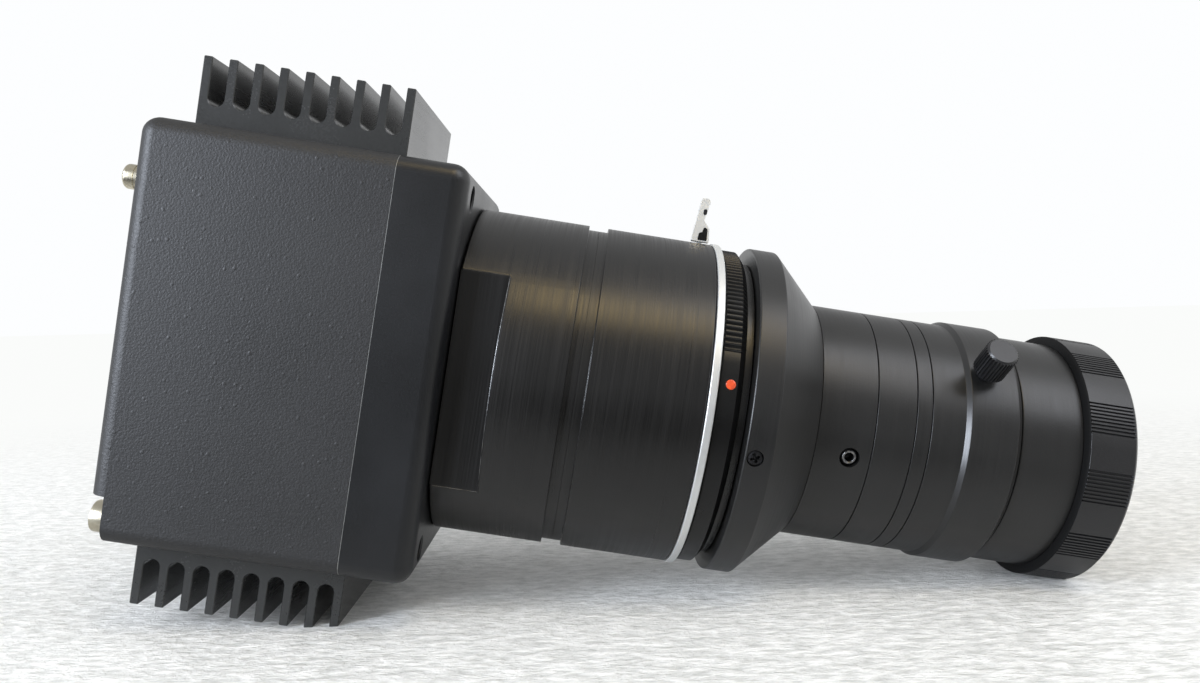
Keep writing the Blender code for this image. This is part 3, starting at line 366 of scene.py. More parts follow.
def toothed(spans: Sequence[tuple[float, float]], pitch: float, bar: Sequence[tuple[float, float]],
            plain: float) -> tuple[np.ndarray, np.ndarray]:
    """Angles round a ring with bars in some spans, and how deep each angle lies.

    In a span each pitch repeats the bar's (share of the pitch, depth) points. Between spans
    the angles are evenly spaced and the depth is 0.

    Args:
        spans: first and last angle of each knurled span, in order.
        pitch: angle from bar to bar, which is fitted to a whole number of bars.
        bar: rows of (share of the pitch, depth from 0 to 1).
        plain: spacing of the angles between spans.

    Returns:
        The angles in degrees and their depths.
    """
    shares, deep = np.asarray(bar, float).T
    angles: list[np.ndarray] = []
    depths: list[np.ndarray] = []
    for number, (low, high) in enumerate(spans):
        bars = max(1, round((high - low) / pitch))
        angles.append((low + (high - low) / bars * (np.arange(bars)[:, None] + shares)).ravel())
        depths.append(np.tile(deep, bars))
        following = spans[number + 1][0] if number + 1 < len(spans) else spans[0][0] + 360.0
        if following > high:
            gap = np.linspace(high, following, max(2, round((following - high) / plain)) + 1)[:-1]
            angles.append(gap)
            depths.append(np.zeros(len(gap)))
    return np.concatenate(angles), np.concatenate(depths)


def wire(x: np.ndarray, swing: np.ndarray, radius: float, thick: float) -> Shape:
    """Sweep a round wire along a path on a cylinder about X.

    Each circle of the wire is spanned by the outward direction and the one square to it and to the path.

    Args:
        x: the path's places along X.
        swing: its angles, in radians from -Y.
        radius: of the cylinder.
        thick: the wire's own radius.

    Returns:
        The closed wire.
    """
    out = np.stack([np.zeros_like(swing), -np.cos(swing), np.sin(swing)], 1)
    middle = out * radius + np.stack([x, 0 * x, 0 * x], 1)
    along = np.gradient(middle, axis=0)
    along /= np.linalg.norm(along, axis=1)[:, None]
    side = np.cross(along, out)
    turn = np.radians(circle(8))
    ring = np.cos(turn)[None, :, None] * out[:, None] + np.sin(turn)[None, :, None] * side[:, None]
    return loft(middle[:, None] + thick * ring)


def sphere_cap(radius: float, sag: float, x_edge: float, steps: int = 16) -> np.ndarray:
    """Profile of a spherical cap from its rim to the axis: (x, r) on a ball through the rim and the pole.

    Args:
        radius: of the rim.
        sag: how far the pole stands out along X, either way.
        x_edge: the rim's x.
        steps: pieces in the arc.

    Returns:
        Rows of (x, radius).
    """
    reach = radius * np.linspace(1.0, 0.0, steps + 1)
    ball = (radius * radius + sag * sag) / (2 * sag)
    rise = np.sign(ball) * (np.sqrt(ball * ball - reach * reach) - np.sqrt(ball * ball - radius * radius))
    return np.stack([x_edge + rise, reach], 1)


# Finishes


def linear(hex_colour: str) -> tuple[float, float, float, float]:
    """Turn an sRGB hex colour into linear values.

    Args:
        hex_colour: such as "#1e1e1f".

    Returns:
        Red, green, blue and an alpha of 1.
    """
    parts = np.array([int(hex_colour[i:i + 2], 16) for i in (1, 3, 5)]) / 255.0
    values = np.where(parts <= 0.04045, parts / 12.92, ((parts + 0.055) / 1.055) ** 2.4)
    return (*values.tolist(), 1.0)


def fill_node(tree: bpy.types.NodeTree, node: bpy.types.Node, values: dict) -> bpy.types.Node:
    """Set and link what feeds a shader node.

    Args:
        tree: where it is.
        node: the node.
        values: by the name of a property, or by the name or number of an input, what it gets. A socket
            there is linked, and a node is linked by its first output.

    Returns:
        The same node.
    """
    for key, value in values.items():
        if isinstance(key, str) and hasattr(node, key):
            setattr(node, key, value)
        elif isinstance(value, (bpy.types.Node, bpy.types.NodeSocket)):
            source = value.outputs[0] if isinstance(value, bpy.types.Node) else value
            tree.links.new(source, node.inputs[key])
        else:
            node.inputs[key].default_value = value
    return node


def add_node(tree: bpy.types.NodeTree, kind: str, values: dict) -> bpy.types.Node:
    """Add one shader node of a kind, such as "Math", with its settings and links."""
    return fill_node(tree, tree.nodes.new(f"ShaderNode{kind}"), values)


@dataclass(frozen=True)
class Layer:
    """One set of marks on a surface, with its spacing and bump in millimetres."""

    pattern: Pattern
    size: float
    depth: float = 0.0
    tone: float = 0.0
    gloss: float = 0.0

    def marks(self, tree: bpy.types.NodeTree, place: bpy.types.NodeSocket) -> bpy.types.Node:
        """Add the texture that draws the marks.

        Args:
            tree: the material's nodes.
            place: object coordinates in metres.

        Returns:
            A node that gives a value from 0 to 1, high on a mark.
        """
        per_metre = 1.0 / (self.size * MM)
        slow = per_metre * LINE_STRETCH
        scale = {Pattern.TURNED: (per_metre, slow, slow), Pattern.DRAWN: (per_metre, slow, per_metre)}
        fitted = add_node(tree, "Mapping", {
            "Scale": scale.get(self.pattern, (per_metre,) * 3), "Vector": place})
        if self.pattern is Pattern.NODULES:
            cell = add_node(tree, "TexVoronoi", {"Scale": 1.0, "Randomness": 1.0, "Vector": fitted})
            return add_node(tree, "MapRange", {
                "interpolation_type": 'SMOOTHSTEP', 0: cell, 1: 0.2, 2: 0.06})
        if self.pattern is Pattern.TRACKS:
            return add_node(tree, "TexBrick", {
                "Scale": 1.0, "Mortar Size": 0.06, "Color1": (0, 0, 0, 1), "Color2": (0.1, 0.1, 0.1, 1),
                "Mortar": (1, 1, 1, 1), "Vector": fitted})
        detail = 3.0 if self.pattern is Pattern.CLOUD else 1.0
        noise = add_node(tree, "TexNoise", {
            "Scale": 1.0, "Detail": detail, "Roughness": 0.55, "Vector": fitted})
        return add_node(tree, "MapRange", {0: noise, 1: 0.3, 2: 0.7})


@dataclass(frozen=True)
class Finish:
    """A real material, how its surface was made, and the record's slot that it mostly stands for."""

    name: str
    slot: str
    colour: str
    marked: str
    roughness: float
    metallic: float
    layers: tuple[Layer, ...]
    sockets: tuple[tuple[str, float], ...] = ()

    def material(self) -> bpy.types.Material:
        """Build the node material, or give the one built before.

        Returns:
            The material.
        """
        found = bpy.data.materials.get(self.name)
        if found is not None:
            return found
        made = bpy.data.materials.new(self.name)
        made.use_nodes = True
        tree = made.node_tree
        place = add_node(tree, "TexCoord", {}).outputs["Object"]
        feeds = {"Base Color": linear(self.colour), "Roughness": self.roughness}
        normal: dict[str, bpy.types.Node] = {}
        for layer in self.layers:
            marks = layer.marks(tree, place)
            if layer.tone:
                share = add_node(tree, "Math", {"operation": 'MULTIPLY', 0: marks, 1: layer.tone})
                mixed = add_node(tree, "Mix", {
                    "data_type": 'RGBA', 0: share, 6: feeds["Base Color"], 7: linear(self.marked)})
                feeds["Base Color"] = mixed.outputs[2]
            if layer.gloss:
                feeds["Roughness"] = add_node(tree, "Math", {
                    "operation": 'MULTIPLY_ADD', 0: marks, 1: layer.gloss, 2: feeds["Roughness"]})
            if layer.depth:
                bump = {"Distance": layer.depth * MM, "Strength": 1.0, "Height": marks}
                normal = {"Normal": add_node(tree, "Bump", bump | normal)}
        uniform = {"Metallic": self.metallic} | dict(self.sockets)
        fill_node(tree, tree.nodes["Principled BSDF"], uniform | feeds | normal)
        return made


# Dyed oxide bends light as anodic alumina does, which gives it a stronger sheen than paint
ANODISED = (("IOR", 1.62),)
# Blasting leaves a dull, even grey sheen with stray nodules. Its grit of 0.1 mm is drawn at 0.35 mm to show
HOUSING_BLACK = Finish(
    "bead-blasted black anodised aluminium", "housing_anodised", "#121212", "#1e1e1f", 0.46, 0.0, (
        Layer(Pattern.GRAIN, 0.35, 0.02, 0.5, 0.06), Layer(Pattern.NODULES, 1.9, 0.03, 0.15),
        Layer(Pattern.CLOUD, 26.0, 0.0, 0.3, 0.08)), ANODISED)
# Milled and lightly etched, it is smoother than the housing and mirrors its surroundings at a low angle
PLATE_BLACK = Finish(
    "milled satin black anodised aluminium", "plate_anodised", "#0b0c0d", "#14161a", 0.32, 0.0, (
        Layer(Pattern.GRAIN, 0.3, 0.004, 0.35, 0.05), Layer(Pattern.CLOUD, 18.0, 0.0, 0.4, 0.06)), ANODISED)
# Extrusion draws faint lines along the fins, and its smooth skin mirrors what is pale
COOLER_BLACK = Finish(
    "extruded black anodised aluminium", "cooler_anodised", "#242525", "#313232", 0.2, 0.0, (
        Layer(Pattern.DRAWN, 0.5, 0.001, 0.25, 0.03), Layer(Pattern.GRAIN, 0.4, 0.001, 0.1),
        Layer(Pattern.CLOUD, 14.0, 0.0, 0.25, 0.06)), ANODISED)
# A lathe leaves fine rings. Their feed of 0.1 mm is drawn at 0.22 mm to show
TUBE_BLACK = Finish(
    "turned satin black anodised aluminium", "tube_anodised", "#080808", "#141312", 0.24, 0.0, (
        Layer(Pattern.TURNED, 0.22, 0.005, 0.45, 0.08), Layer(Pattern.TURNED, 0.5, 0.0, 0.3, 0.07),
        Layer(Pattern.CLOUD, 16.0, 0.0, 0.3, 0.06)), ANODISED)
# Lens barrels are turned finer than the tube, and etched so that their shine is wide and soft
LENS_BLACK = Finish(
    "fine turned black anodised aluminium", "lens_anodised", "#101010", "#1b1b1b", 0.3, 0.0, (
        Layer(Pattern.TURNED, 0.2, 0.003, 0.3, 0.06), Layer(Pattern.GRAIN, 0.35, 0.003, 0.2),
        Layer(Pattern.CLOUD, 12.0, 0.0, 0.3, 0.06)), ANODISED)
# Knurled bars keep a dull dye in their grooves and a little shine on their tops
GRIP_BLACK = Finish(
    "knurled black anodised aluminium", "grip_anodised", "#101011", "#1e1e20", 0.32, 0.0, (
        Layer(Pattern.GRAIN, 0.3, 0.006, 0.4, 0.06), Layer(Pattern.CLOUD, 8.0, 0.0, 0.3, 0.06)), ANODISED)
# Baked lacquer is a deep black with a soft gloss, thinned a little in patches
LACQUER_BLACK = Finish(
    "black lacquer on turned brass", "grip_anodised", "#050505", "#0f0f0f", 0.26, 0.0, (
        Layer(Pattern.GRAIN, 0.3, 0.003, 0.35, 0.06), Layer(Pattern.CLOUD, 7.0, 0.0, 0.3, 0.06)))
# Flat paint swallows light. On the front ring's shoulder this near-black also stands in for shade: it is
# painted shade for the dark band between the front barrel and the ring
MATT_BLACK_AND_PAINTED_SHADE = Finish(
    "flat black paint and painted shade on aluminium", "grip_anodised", "#040404", "#0a0a0a", 0.7, 0.0, (
        Layer(Pattern.GRAIN, 0.35, 0.01, 0.5, 0.1),), (("Specular IOR Level", 0.25),))
# Turned with a sharp tool and dyed without etching, it glints at its edges
GLOSS_BLACK = Finish(
    "bright-turned black anodised aluminium", "grip_anodised", "#070707", "#101010", 0.22, 0.0, (
        Layer(Pattern.TURNED, 0.2, 0.002, 0.4, 0.05), Layer(Pattern.CLOUD, 7.0, 0.0, 0.3, 0.06)), ANODISED)
# Fine blasting before plating spreads its shine, and frosts it so that it looks silvery white all round
SATIN_METAL = Finish("satin chrome on turned brass", "chrome", "#f2f3f1", "#dcdedd", 0.4, 0.88, (
    Layer(Pattern.TURNED, 0.25, 0.003, 0.3, 0.06), Layer(Pattern.CLOUD, 6.0, 0.0, 0.25, 0.08)))
# Nickel is warmer and softer in its shine than chrome
NICKEL = Finish("nickel-plated steel", "nickel", "#cfc8b4", "#a89f88", 0.24, 1.0, (
    Layer(Pattern.GRAIN, 0.4, 0.003, 0.3, 0.08), Layer(Pattern.CLOUD, 3.0, 0.0, 0.3, 0.1)))
# A joint's bare edge, bright where the dye is rubbed off and dark in between
BARE_EDGE = Finish("bare milled aluminium", "nickel", "#b9b9b6", "#6b6b69", 0.4, 1.0, (
    Layer(Pattern.GRAIN, 1.6, 0.0, 0.7, 0.1),))
# A spanner has thinned the dye on the edge, so that grey metal shows through in places
RUBBED_BLACK = Finish("rubbed black anodised aluminium", "tube_anodised", "#3c3c3d", "#a3a3a2", 0.34, 1.0, (
    Layer(Pattern.GRAIN, 2.2, 0.0, 0.8, 0.1),))
# Oil-blackened steel is almost black with bright worn specks
BLACK_STEEL = Finish("oil-blackened steel", "screw_steel", "#2a2a2b", "#5f5f62", 0.3, 1.0, (
    Layer(Pattern.GRAIN, 0.25, 0.004, 0.35, 0.1), Layer(Pattern.CLOUD, 1.2, 0.0, 0.3, 0.1)))
# A hex key has rubbed the black off the socket's rim, which glints
WORN_STEEL = Finish("worn blackened steel", "screw_steel", "#77777a", "#dcdcda", 0.26, 1.0, (
    Layer(Pattern.GRAIN, 0.6, 0.002, 0.6, 0.1),))
# Spring wire is bright with darker specks left by drawing
SPRING_STEEL = Finish("drawn spring steel", "screw_steel", "#8d8d8c", "#5f5f60", 0.28, 1.0, (
    Layer(Pattern.GRAIN, 0.2, 0.002, 0.5, 0.1),))
# Polished crown glass with a violet-green film that kills reflections
GLASS = Finish("polished coated crown glass", "glass", "#f4f7f5", "#e6ecea", 0.01, 0.0, (
    Layer(Pattern.CLOUD, 9.0, 0.0, 0.3, 0.015),), (
        ("Transmission Weight", 1.0), ("IOR", 1.52),
        ("Thin Film Thickness", 390.0), ("Thin Film IOR", 1.38)))
# Green lacquer over copper tracks, which show as paler lines
BOARD = Finish("lacquered epoxy circuit board", "circuit_board", "#12492a", "#2c7a4a", 0.35, 0.0, (
    Layer(Pattern.TRACKS, 2.4, 0.03, 0.8, -0.08), Layer(Pattern.GRAIN, 0.5, 0.004, 0.2)))
# Fired alumina is dense and dull with a fine grain
CERAMIC = Finish("fired dark ceramic", "ceramic", "#3a363b", "#4b474d", 0.4, 0.0, (
    Layer(Pattern.GRAIN, 0.4, 0.005, 0.5, 0.1),))
# Moulded with a spark-eroded grain
BLACK_PLASTIC = Finish(
    "moulded black glass-filled nylon", "black_plastic", "#18181a", "#2a2a2d", 0.48, 0.0, (
        Layer(Pattern.GRAIN, 0.3, 0.008, 0.5, 0.1),))
# Gold flash on springy bronze, worn darker where plugs rub
GOLD = Finish("gold-flashed bronze", "nickel", "#d9ad4e", "#b3873a", 0.22, 1.0, (
    Layer(Pattern.GRAIN, 0.3, 0.002, 0.4, 0.1),))
# A clear dyed moulding that lets a little light through
LAMP_GREEN = Finish("moulded green polycarbonate", "lamp_plastic", "#3fae52", "#2f8a41", 0.18, 0.0, (
    Layer(Pattern.CLOUD, 1.0, 0.0, 0.5, 0.06),), (("IOR", 1.58), ("Transmission Weight", 0.35)))
# Brushed into a drilled spot, it dries glossy with a slightly uneven coat
INDEX_ENAMEL = Finish("orange-red enamel", "lamp_plastic", "#cc4a20", "#8e2b12", 0.22, 0.0, (
    Layer(Pattern.CLOUD, 0.7, 0.03, 0.7, 0.1),))


# Pieces


def placed(name: str, data: bpy.types.ID) -> bpy.types.Object:
    """Add an object that holds a mesh, a lamp or a camera to the scene.

    Args:
        name: the object's name.
        data: what it holds.

    Returns:
        The object, at the origin.
    """
    made = bpy.data.objects.new(name, data)
    bpy.context.scene.collection.objects.link(made)
    return made


@dataclass
class Workshop:
    """Turns shapes into finished pieces on the frame."""

    origin: np.ndarray

    def solid(self, name: str, shape: Shape) -> bpy.types.Object:
        """Make an object of a shape: merge doubles, drop flat slivers and point the faces outwards.

        Args:
            name: the object's name.
            shape: in the camera's own axes.

        Returns:
            The object, at the origin, with its place in its mesh.
        """
        mesh = bpy.data.meshes.new(name)
        mesh.from_pydata(((shape.points + self.origin) * MM).tolist(), [], shape.faces)
        work = bmesh.new()
        work.from_mesh(mesh)
        bmesh.ops.remove_doubles(work, verts=work.verts, dist=MERGE)
        bmesh.ops.dissolve_degenerate(work, edges=work.edges, dist=MERGE)
        bmesh.ops.recalc_face_normals(work, faces=work.faces)
        work.to_mesh(mesh)
        work.free()
        return placed(name, mesh)

    def settle(self, piece: bpy.types.Object) -> None:
        """Replace a piece's mesh by what its modifiers make of it.

        Args:
            piece: the piece, which then has no modifiers.
        """
        bpy.context.view_layer.update()
        done = piece.evaluated_get(bpy.context.evaluated_depsgraph_get())
        settled = bpy.data.meshes.new_from_object(done)
        piece.modifiers.clear()
        piece.data = settled

    def carve(self, piece: bpy.types.Object, cutters: Sequence[Shape]) -> None:
        """Cut shapes out of a piece.

        Args:
            piece: what is cut.
            cutters: closed shapes.
        """
        tools = [self.solid(f"{piece.name}_cutter", cutter) for cutter in cutters]
        for tool in tools:
            modifier = piece.modifiers.new("cut", 'BOOLEAN')
            modifier.operation = 'DIFFERENCE'
            modifier.solver = 'EXACT'
            modifier.object = tool
        self.settle(piece)
        for tool in tools:
            bpy.data.objects.remove(tool, do_unlink=True)

    def publish(self, name: str, shape: Shape, finish: Finish, node: str = "", body: Body = Body.CAMERA,
                cutters: Sequence[Shape] = (), slot: str = "") -> bpy.types.Object:
        """Make a finished piece that rides on a body.

        Args:
            name: the piece's name.
            shape: its surface.
            finish: what it is made of.
            node: CAD node that it stands for, if any.
            body: what it moves with.
            cutters: shapes cut out of it.
            slot: the record's material slot, where it isn't the finish's own; not used.

        Returns:
            The piece.
        """
        piece = self.solid(name, shape)
        if cutters:
            self.carve(piece, cutters)
        piece.data.shade_smooth()
        piece.data.set_sharp_from_angle(angle=SHARP)
        weight = piece.modifiers.new("even shading", 'WEIGHTED_NORMAL')
        weight.keep_sharp = True
        self.settle(piece)
        piece.data.name = name
        piece.data.materials.clear()
        piece.data.materials.append(finish.material())
        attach(piece, body.value)
        if node:
            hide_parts(node)
        LOG.info("%s: %d faces, %s", name, len(piece.data.polygons), finish.name)
        return piece


@dataclass
class CameraBody:
    """Rear housing and front plate: a box whose outer edges are round."""

    shop: Workshop
    half_depth: float = 30.0
    half_height: float = 36.0
    edge: float = 3.0
    edge_points: int = 9
    lip: float = 0.05
    seam_rear: float = -12.24
    seam_front: float = -12.08
    relief: float = 2.95

    def shell(self, end: float, seam: float) -> Shape:
        """Box section carried along X: over the end's rounding of angle t it draws in by edge (1 - cos t).

        Args:
            end: x of the round end.
            seam: x of the square end, which has a small lip.

        Returns:
            The closed box.
        """
        inward = 1.0 if end < seam else -1.0
        swing = np.radians(np.linspace(90.0, 0.0, self.edge_points))
        levels = np.append(end + inward * self.edge * (1 - np.sin(swing)), [seam - inward * self.lip, seam])
        draws = np.append(self.edge * (1 - np.cos(swing)), [0.0, self.lip])
        reach = np.maximum(self.edge - draws, 0.02)[:, None]
        quarter = np.radians(np.linspace(0.0, 90.0, self.edge_points))
        turn = (np.radians(circle(4))[:, None] + quarter).ravel()
        centre_y = np.repeat(np.array([1, -1, -1, 1]) * (self.half_depth - self.edge), self.edge_points)
        centre_z = np.repeat(np.array([1, 1, -1, -1]) * (self.half_height - self.edge), self.edge_points)
        y = centre_y + reach * np.cos(turn)
        z = centre_z + reach * np.sin(turn)
        return loft(np.stack([np.repeat(levels[:, None], len(turn), 1), y, z], -1))

    def housing(self) -> None:
        """Rear housing with its cavity, socket holes, corner reliefs and screw holes."""
        quarter = [(26.5, 28.0), (17.5, 28.0), (17.5, 32.5)]
        upper = quarter + [(-y, z) for y, z in quarter[::-1]]
        cavity = np.array(upper + [(y, -z) for y, z in upper[::-1]])
        wall = (REAR_FACE - 1.0, -49.5)
        floor = REAR_FACE + self.relief
        cutters = [prism(cavity, -50.5, -11.0, Along.X),
                   prism(box_outline(17.3, 4.5, 1.5), *wall, Along.X).at(0, *DATA_SOCKET),
                   rod(*wall, 6.3, 48).at(0, *POWER_SOCKET), rod(*wall, 1.8).at(0, *STATUS_LAMP)]
        for side in SIDES.values():
            low, high = sorted((side * 19.0, side * 31.0))
            cutters += [block((wall[0], low, -37.0), (floor, high, -27.9)),
                        rod(floor - 1.0, floor + 6.0, 1.7).at(0, side * RELIEF_SCREW[0], RELIEF_SCREW[1]),
                        rod(*wall, 1.7).at(0, side * POST[0], POST[1])]
            cutters += [rod(-19.0, -11.0, 1.3).at(0, side * PLATE_SCREW[0], level * PLATE_SCREW[1])
                        for level in (-1.0, 1.0)]
        self.shop.publish("housing_shell", self.shell(REAR_FACE, self.seam_rear), HOUSING_BLACK,
                          "rear_housing", cutters=cutters)

    def plate(self) -> None:
        """Front plate with the tube's stepped seat and four deep counterbores."""
        behind, ahead = -13.0, 1.0
        seat = np.array([(behind, 0.0), (ahead, 0.0), (ahead, 21.3), (-6.3, 21.3), (-6.3, 19.2),
                         (-8.2, 19.2), (-8.2, 17.5), (behind, 17.5)])
        bore = rounded([(behind, 0.0, 0), (ahead, 0.0, 0), (ahead, 3.2, 0), (-0.3, 2.2, 0), (-8.0, 2.2, 0),
                        (-8.0, 1.3, 0), (behind, 1.3, 0)], 1)
        cutters = [lathe(seat, 96)]
        for side in SIDES.values():
            for level in (-1.0, 1.0):
                cutters += [lathe(bore, 40).at(0, side * PLATE_SCREW[0], level * PLATE_SCREW[1]),
                            rod(behind, -8.7, 1.5, 24).at(0, side * 20.0, level * 20.0)]
        self.shop.publish("plate_shell", self.shell(0.0, self.seam_front), PLATE_BLACK, "front_plate",
                          cutters=cutters)

    def gasket(self) -> None:
        """Thin bright frame in the seam between housing and plate."""
        outer = box_outline(self.half_depth - 0.03, self.half_height - 0.03, self.edge, 8)
        inner = box_outline(28.4, 34.4, 1.6, 8)
        low, high = self.seam_rear + 0.02, self.seam_front - 0.02
        frame = stacked(((outer, low), (outer, high), (inner, high), (inner, low)), Along.X, capped=False)
        self.shop.publish("seam_gasket", frame, BARE_EDGE)

    def build(self) -> None:
        """Make and dress the body."""
        self.housing()
        self.plate()
        self.gasket()


@dataclass
class Coolers:
    """Upper and lower combs of straight fins, extruded across the camera."""

    shop: Workshop
    front: float = -12.4
    half_depth: float = 21.5
    base: float = 36.1
    floor: float = 40.0
    tip: float = 48.4
    fins: int = 9
    pitch: float = 4.41
    fin: float = 1.56
    base_edge: float = 0.15
    tip_edge: float = 0.22

    def outline(self) -> np.ndarray:
        """Comb of fins with round-bottomed slots and slightly broken tips.

        Returns:
            Rows of (x, z).
        """
        rear = self.front - (self.fins - 1) * self.pitch - self.fin
        slot = (self.pitch - self.fin) / 2
        corners = [(rear, self.base, self.base_edge), (rear, self.tip, self.tip_edge)]
        for number in range(self.fins - 1):
            low = rear + self.fin + number * self.pitch
            high = low + 2 * slot
            corners += [(low, self.tip, self.tip_edge), (low, self.floor, 0.97 * slot),
                        (high, self.floor, 0.97 * slot), (high, self.tip, self.tip_edge)]
        corners += [(self.front, self.tip, self.tip_edge), (self.front, self.base, self.base_edge)]
        return rounded(corners, 6)

    def build(self) -> None:
        """Make both combs, each with blind screw holes in its base."""
        for name, up in (("upper", 1.0), ("lower", -1.0)):
            outline = self.outline() * np.array([1.0, up])
            comb = prism(outline, -self.half_depth, self.half_depth, Along.Y, 0.14)
            upright = np.array([[0.0, 0, 1], [0, 1, 0], [up, 0, 0]])
            holes = [rod(-2.0, 2.8, 1.6, 24).put(upright, (-32.0, side * 12.0, up * 36.0))
                     for side in SIDES.values()]
            self.shop.publish(f"{name}_fins", comb, COOLER_BLACK, f"{name}_cooler", cutters=holes)


@dataclass(frozen=True)
class CapScrew:
    """Hex-socket cap screw whose head sits on x = 0 with its shank along +X."""

    head: float
    height: float
    shank: float
    length: float
    socket: float
    knurl: float
    socket_depth: float = 1.2

    def shape(self) -> Shape:
        """Turned screw: the head's side is knurled, and the socket follows a hexagon down to a cone.

        Returns:
            The screw along X.
        """
        top = -self.height
        deep = top + self.socket_depth
        profile = np.array([
            (self.length, 0.0), (deep + 0.35, 0.0), (deep, self.socket), (top + 0.12, self.socket),
            (top, self.socket + 0.1), (top, self.head - 0.35), (top + 0.1, self.head - 0.12),
            (top + 0.4, self.head), (-0.15, self.head), (0.0, self.head - 0.15), (0.0, self.shank),
            (self.length - 0.4, self.shank), (self.length, self.shank - 0.4)])
        angles = circle(144)
        hexagon = many_sided(angles, self.socket * 0.866)
        knurled = self.head - (np.arange(len(angles)) % 4 < 2) * self.knurl
        return lathe(profile, angles, [(slice(2, 4), hexagon), (slice(7, 9), knurled)])


@dataclass
class RearPanel:
    """Sockets, posts, screws and lamp on the housing's rear face, and the plate's own screws."""

    shop: Workshop
    relief_seat: float = -52.15
    plate_seat: float = -7.9

    def data_socket(self) -> None:
        """Plated shell round a moulded insulator with two rows of contacts."""
        outer = box_outline(17.0, 4.2, 1.4)
        mouth = box_outline(15.4, 3.0, 0.9)
        shell = stacked(((outer, -47.6), (outer, -57.2), (inset(outer, 0.3), -57.5),
                         (inset(mouth, -0.25), -57.5), (mouth, -57.2), (mouth, -50.5)), Along.X)
        insulator = prism(inset(mouth, 0.05), -52.55, -50.55, Along.X, 0.1)
        hole = prism(box_outline(0.62, 0.5, 0.12, 2), -53.0, -51.4, Along.X)
        contact = prism(box_outline(0.42, 0.16, 0.06, 2), -52.2, -51.35, Along.X, 0.05)
        places = [(column * 2.1, row * 1.15) for row in (-1, 1) for column in range(-6, 7)]
        holes, contacts = (joined([one.at(0, y, z) for y, z in places]) for one in (hole, contact))
        spot = (0.0, *DATA_SOCKET)
        self.shop.publish("data_socket_shell", shell.at(*spot), NICKEL, "data_socket")
        self.shop.publish("data_socket_insulator", insulator.at(*spot), BLACK_PLASTIC,
                          cutters=[holes.at(*spot)])
        self.shop.publish("data_socket_contacts", contacts.at(*spot), GOLD)

    def posts(self) -> None:
        """Round jackposts with a domed edge, a fine line round the middle and a threaded bore."""
        bore = thread(-58.6, -56.2, 1.15, 0.6, -0.12)
        swing = np.radians(np.linspace(80.0, 0.0, 7))
        dome = np.stack([-58.15 - 0.65 * np.sin(swing), 1.5 + 0.65 * np.cos(swing)], 1)
        profile = np.concatenate([
            [(-44.5, 0.0), (-55.9, 0.0)], bore[::-1], [(-58.8, 1.3)], dome,
            [(-56.9, 2.15), (-56.85, 2.05), (-56.7, 2.05), (-56.65, 2.15), (-55.4, 2.15), (-55.2, 2.0),
             (-55.2, 1.4), (-44.9, 1.4), (-44.5, 1.0)]])
        for side, sign in SIDES.items():
            self.shop.publish(f"post_{side}", lathe(profile, 64).at(0, sign * POST[0], POST[1]), NICKEL,
                              f"jackpost_{side}")

    def power_socket(self) -> None:
        """Round shell with a keyway and an outside thread, its insulator, six pins and hexagon nut."""
        spot = (0.0, *POWER_SOCKET)
        bore = 4.5
        shell = np.concatenate([
            [(-47.6, 0.0), (-50.0, 0.0), (-50.0, bore), (-58.3, bore), (-58.5, 4.7), (-58.5, 5.5)],
            thread(-58.1, -56.9, 6.0, 0.6, 0.2), [(-56.7, 6.0), (-47.8, 6.0), (-47.6, 5.8)]])
        angles = circle(120)
        keyway = bore + np.where(np.abs(angles - 90.0) < 9.0, 0.5, 0.0)
        turned = lathe(shell, angles, [(slice(2, 4), keyway)])
        self.shop.publish("power_socket_shell", turned.at(*spot), NICKEL, "power_socket")
        insulator = np.array([(-50.05, 0.0), (-51.5, 0.0), (-51.5, 4.2), (-51.3, 4.4), (-50.05, 4.4)])
        self.shop.publish("power_socket_insulator", lathe(insulator, 64).at(*spot), BLACK_PLASTIC)
        pin = np.array([(-51.4, 0.0), (-53.5, 0.0), (-53.5, 0.2), (-53.3, 0.42), (-52.9, 0.5), (-51.4, 0.5)])
        pins = [lathe(pin, 16).at(0, 2.7 * cos(radians(a)), 2.7 * sin(radians(a))) for a in circle(6)]
        self.shop.publish("power_socket_pins", joined(pins).at(*spot), GOLD)
        nut = np.array([(-57.0, 6.1), (-57.0, 7.2), (-56.6, 8.6), (-55.5, 8.6), (-55.1, 7.2), (-55.1, 6.1)])
        hexagon = np.minimum(nut[1:5, 1:], many_sided(circle(96), 7.45))
        self.shop.publish("power_nut", lathe(nut, 96, [(slice(1, 5), hexagon)]).at(*spot), NICKEL,
                          "power_socket_nut")

    def lamp(self) -> None:
        """Dyed light pipe with a domed end."""
        profile = np.concatenate([[(-47.6, 0.0), (-47.6, 1.5)], sphere_cap(1.5, -0.75, REAR_FACE, 8)])
        self.shop.publish("lamp_dome", lathe(profile, 40).at(0, *STATUS_LAMP), LAMP_GREEN, "status_lamp")

    def screws(self) -> None:
        """Cap screws in the rear reliefs and in the front plate's counterbores."""
        rear = CapScrew(2.75, 3.2, 1.4, 5.0, 1.4, 0.0).shape()
        for side, sign in SIDES.items():
            self.shop.publish(f"relief_screw_{side}",
                              rear.at(self.relief_seat, sign * RELIEF_SCREW[0], RELIEF_SCREW[1]), NICKEL,
                              f"rear_screw_{side}")
        facing_back = np.diag([-1.0, -1.0, 1.0])
        plate = CapScrew(1.9, 2.0, 1.0, 10.0, 1.0, 0.06).shape()
        for number, (side, level) in enumerate(((-1, 1), (1, 1), (-1, -1), (1, -1)), 1):
            place = (self.plate_seat, side * PLATE_SCREW[0], level * PLATE_SCREW[1])
            self.shop.publish(f"counterbore_screw_{number}", plate.put(facing_back, place), BLACK_STEEL,
                              f"plate_screw_{number}")

    def build(self) -> None:
        """Make and dress the rear face's pieces."""
        self.data_socket()
        self.posts()
        self.power_socket()
        self.lamp()
        self.screws()


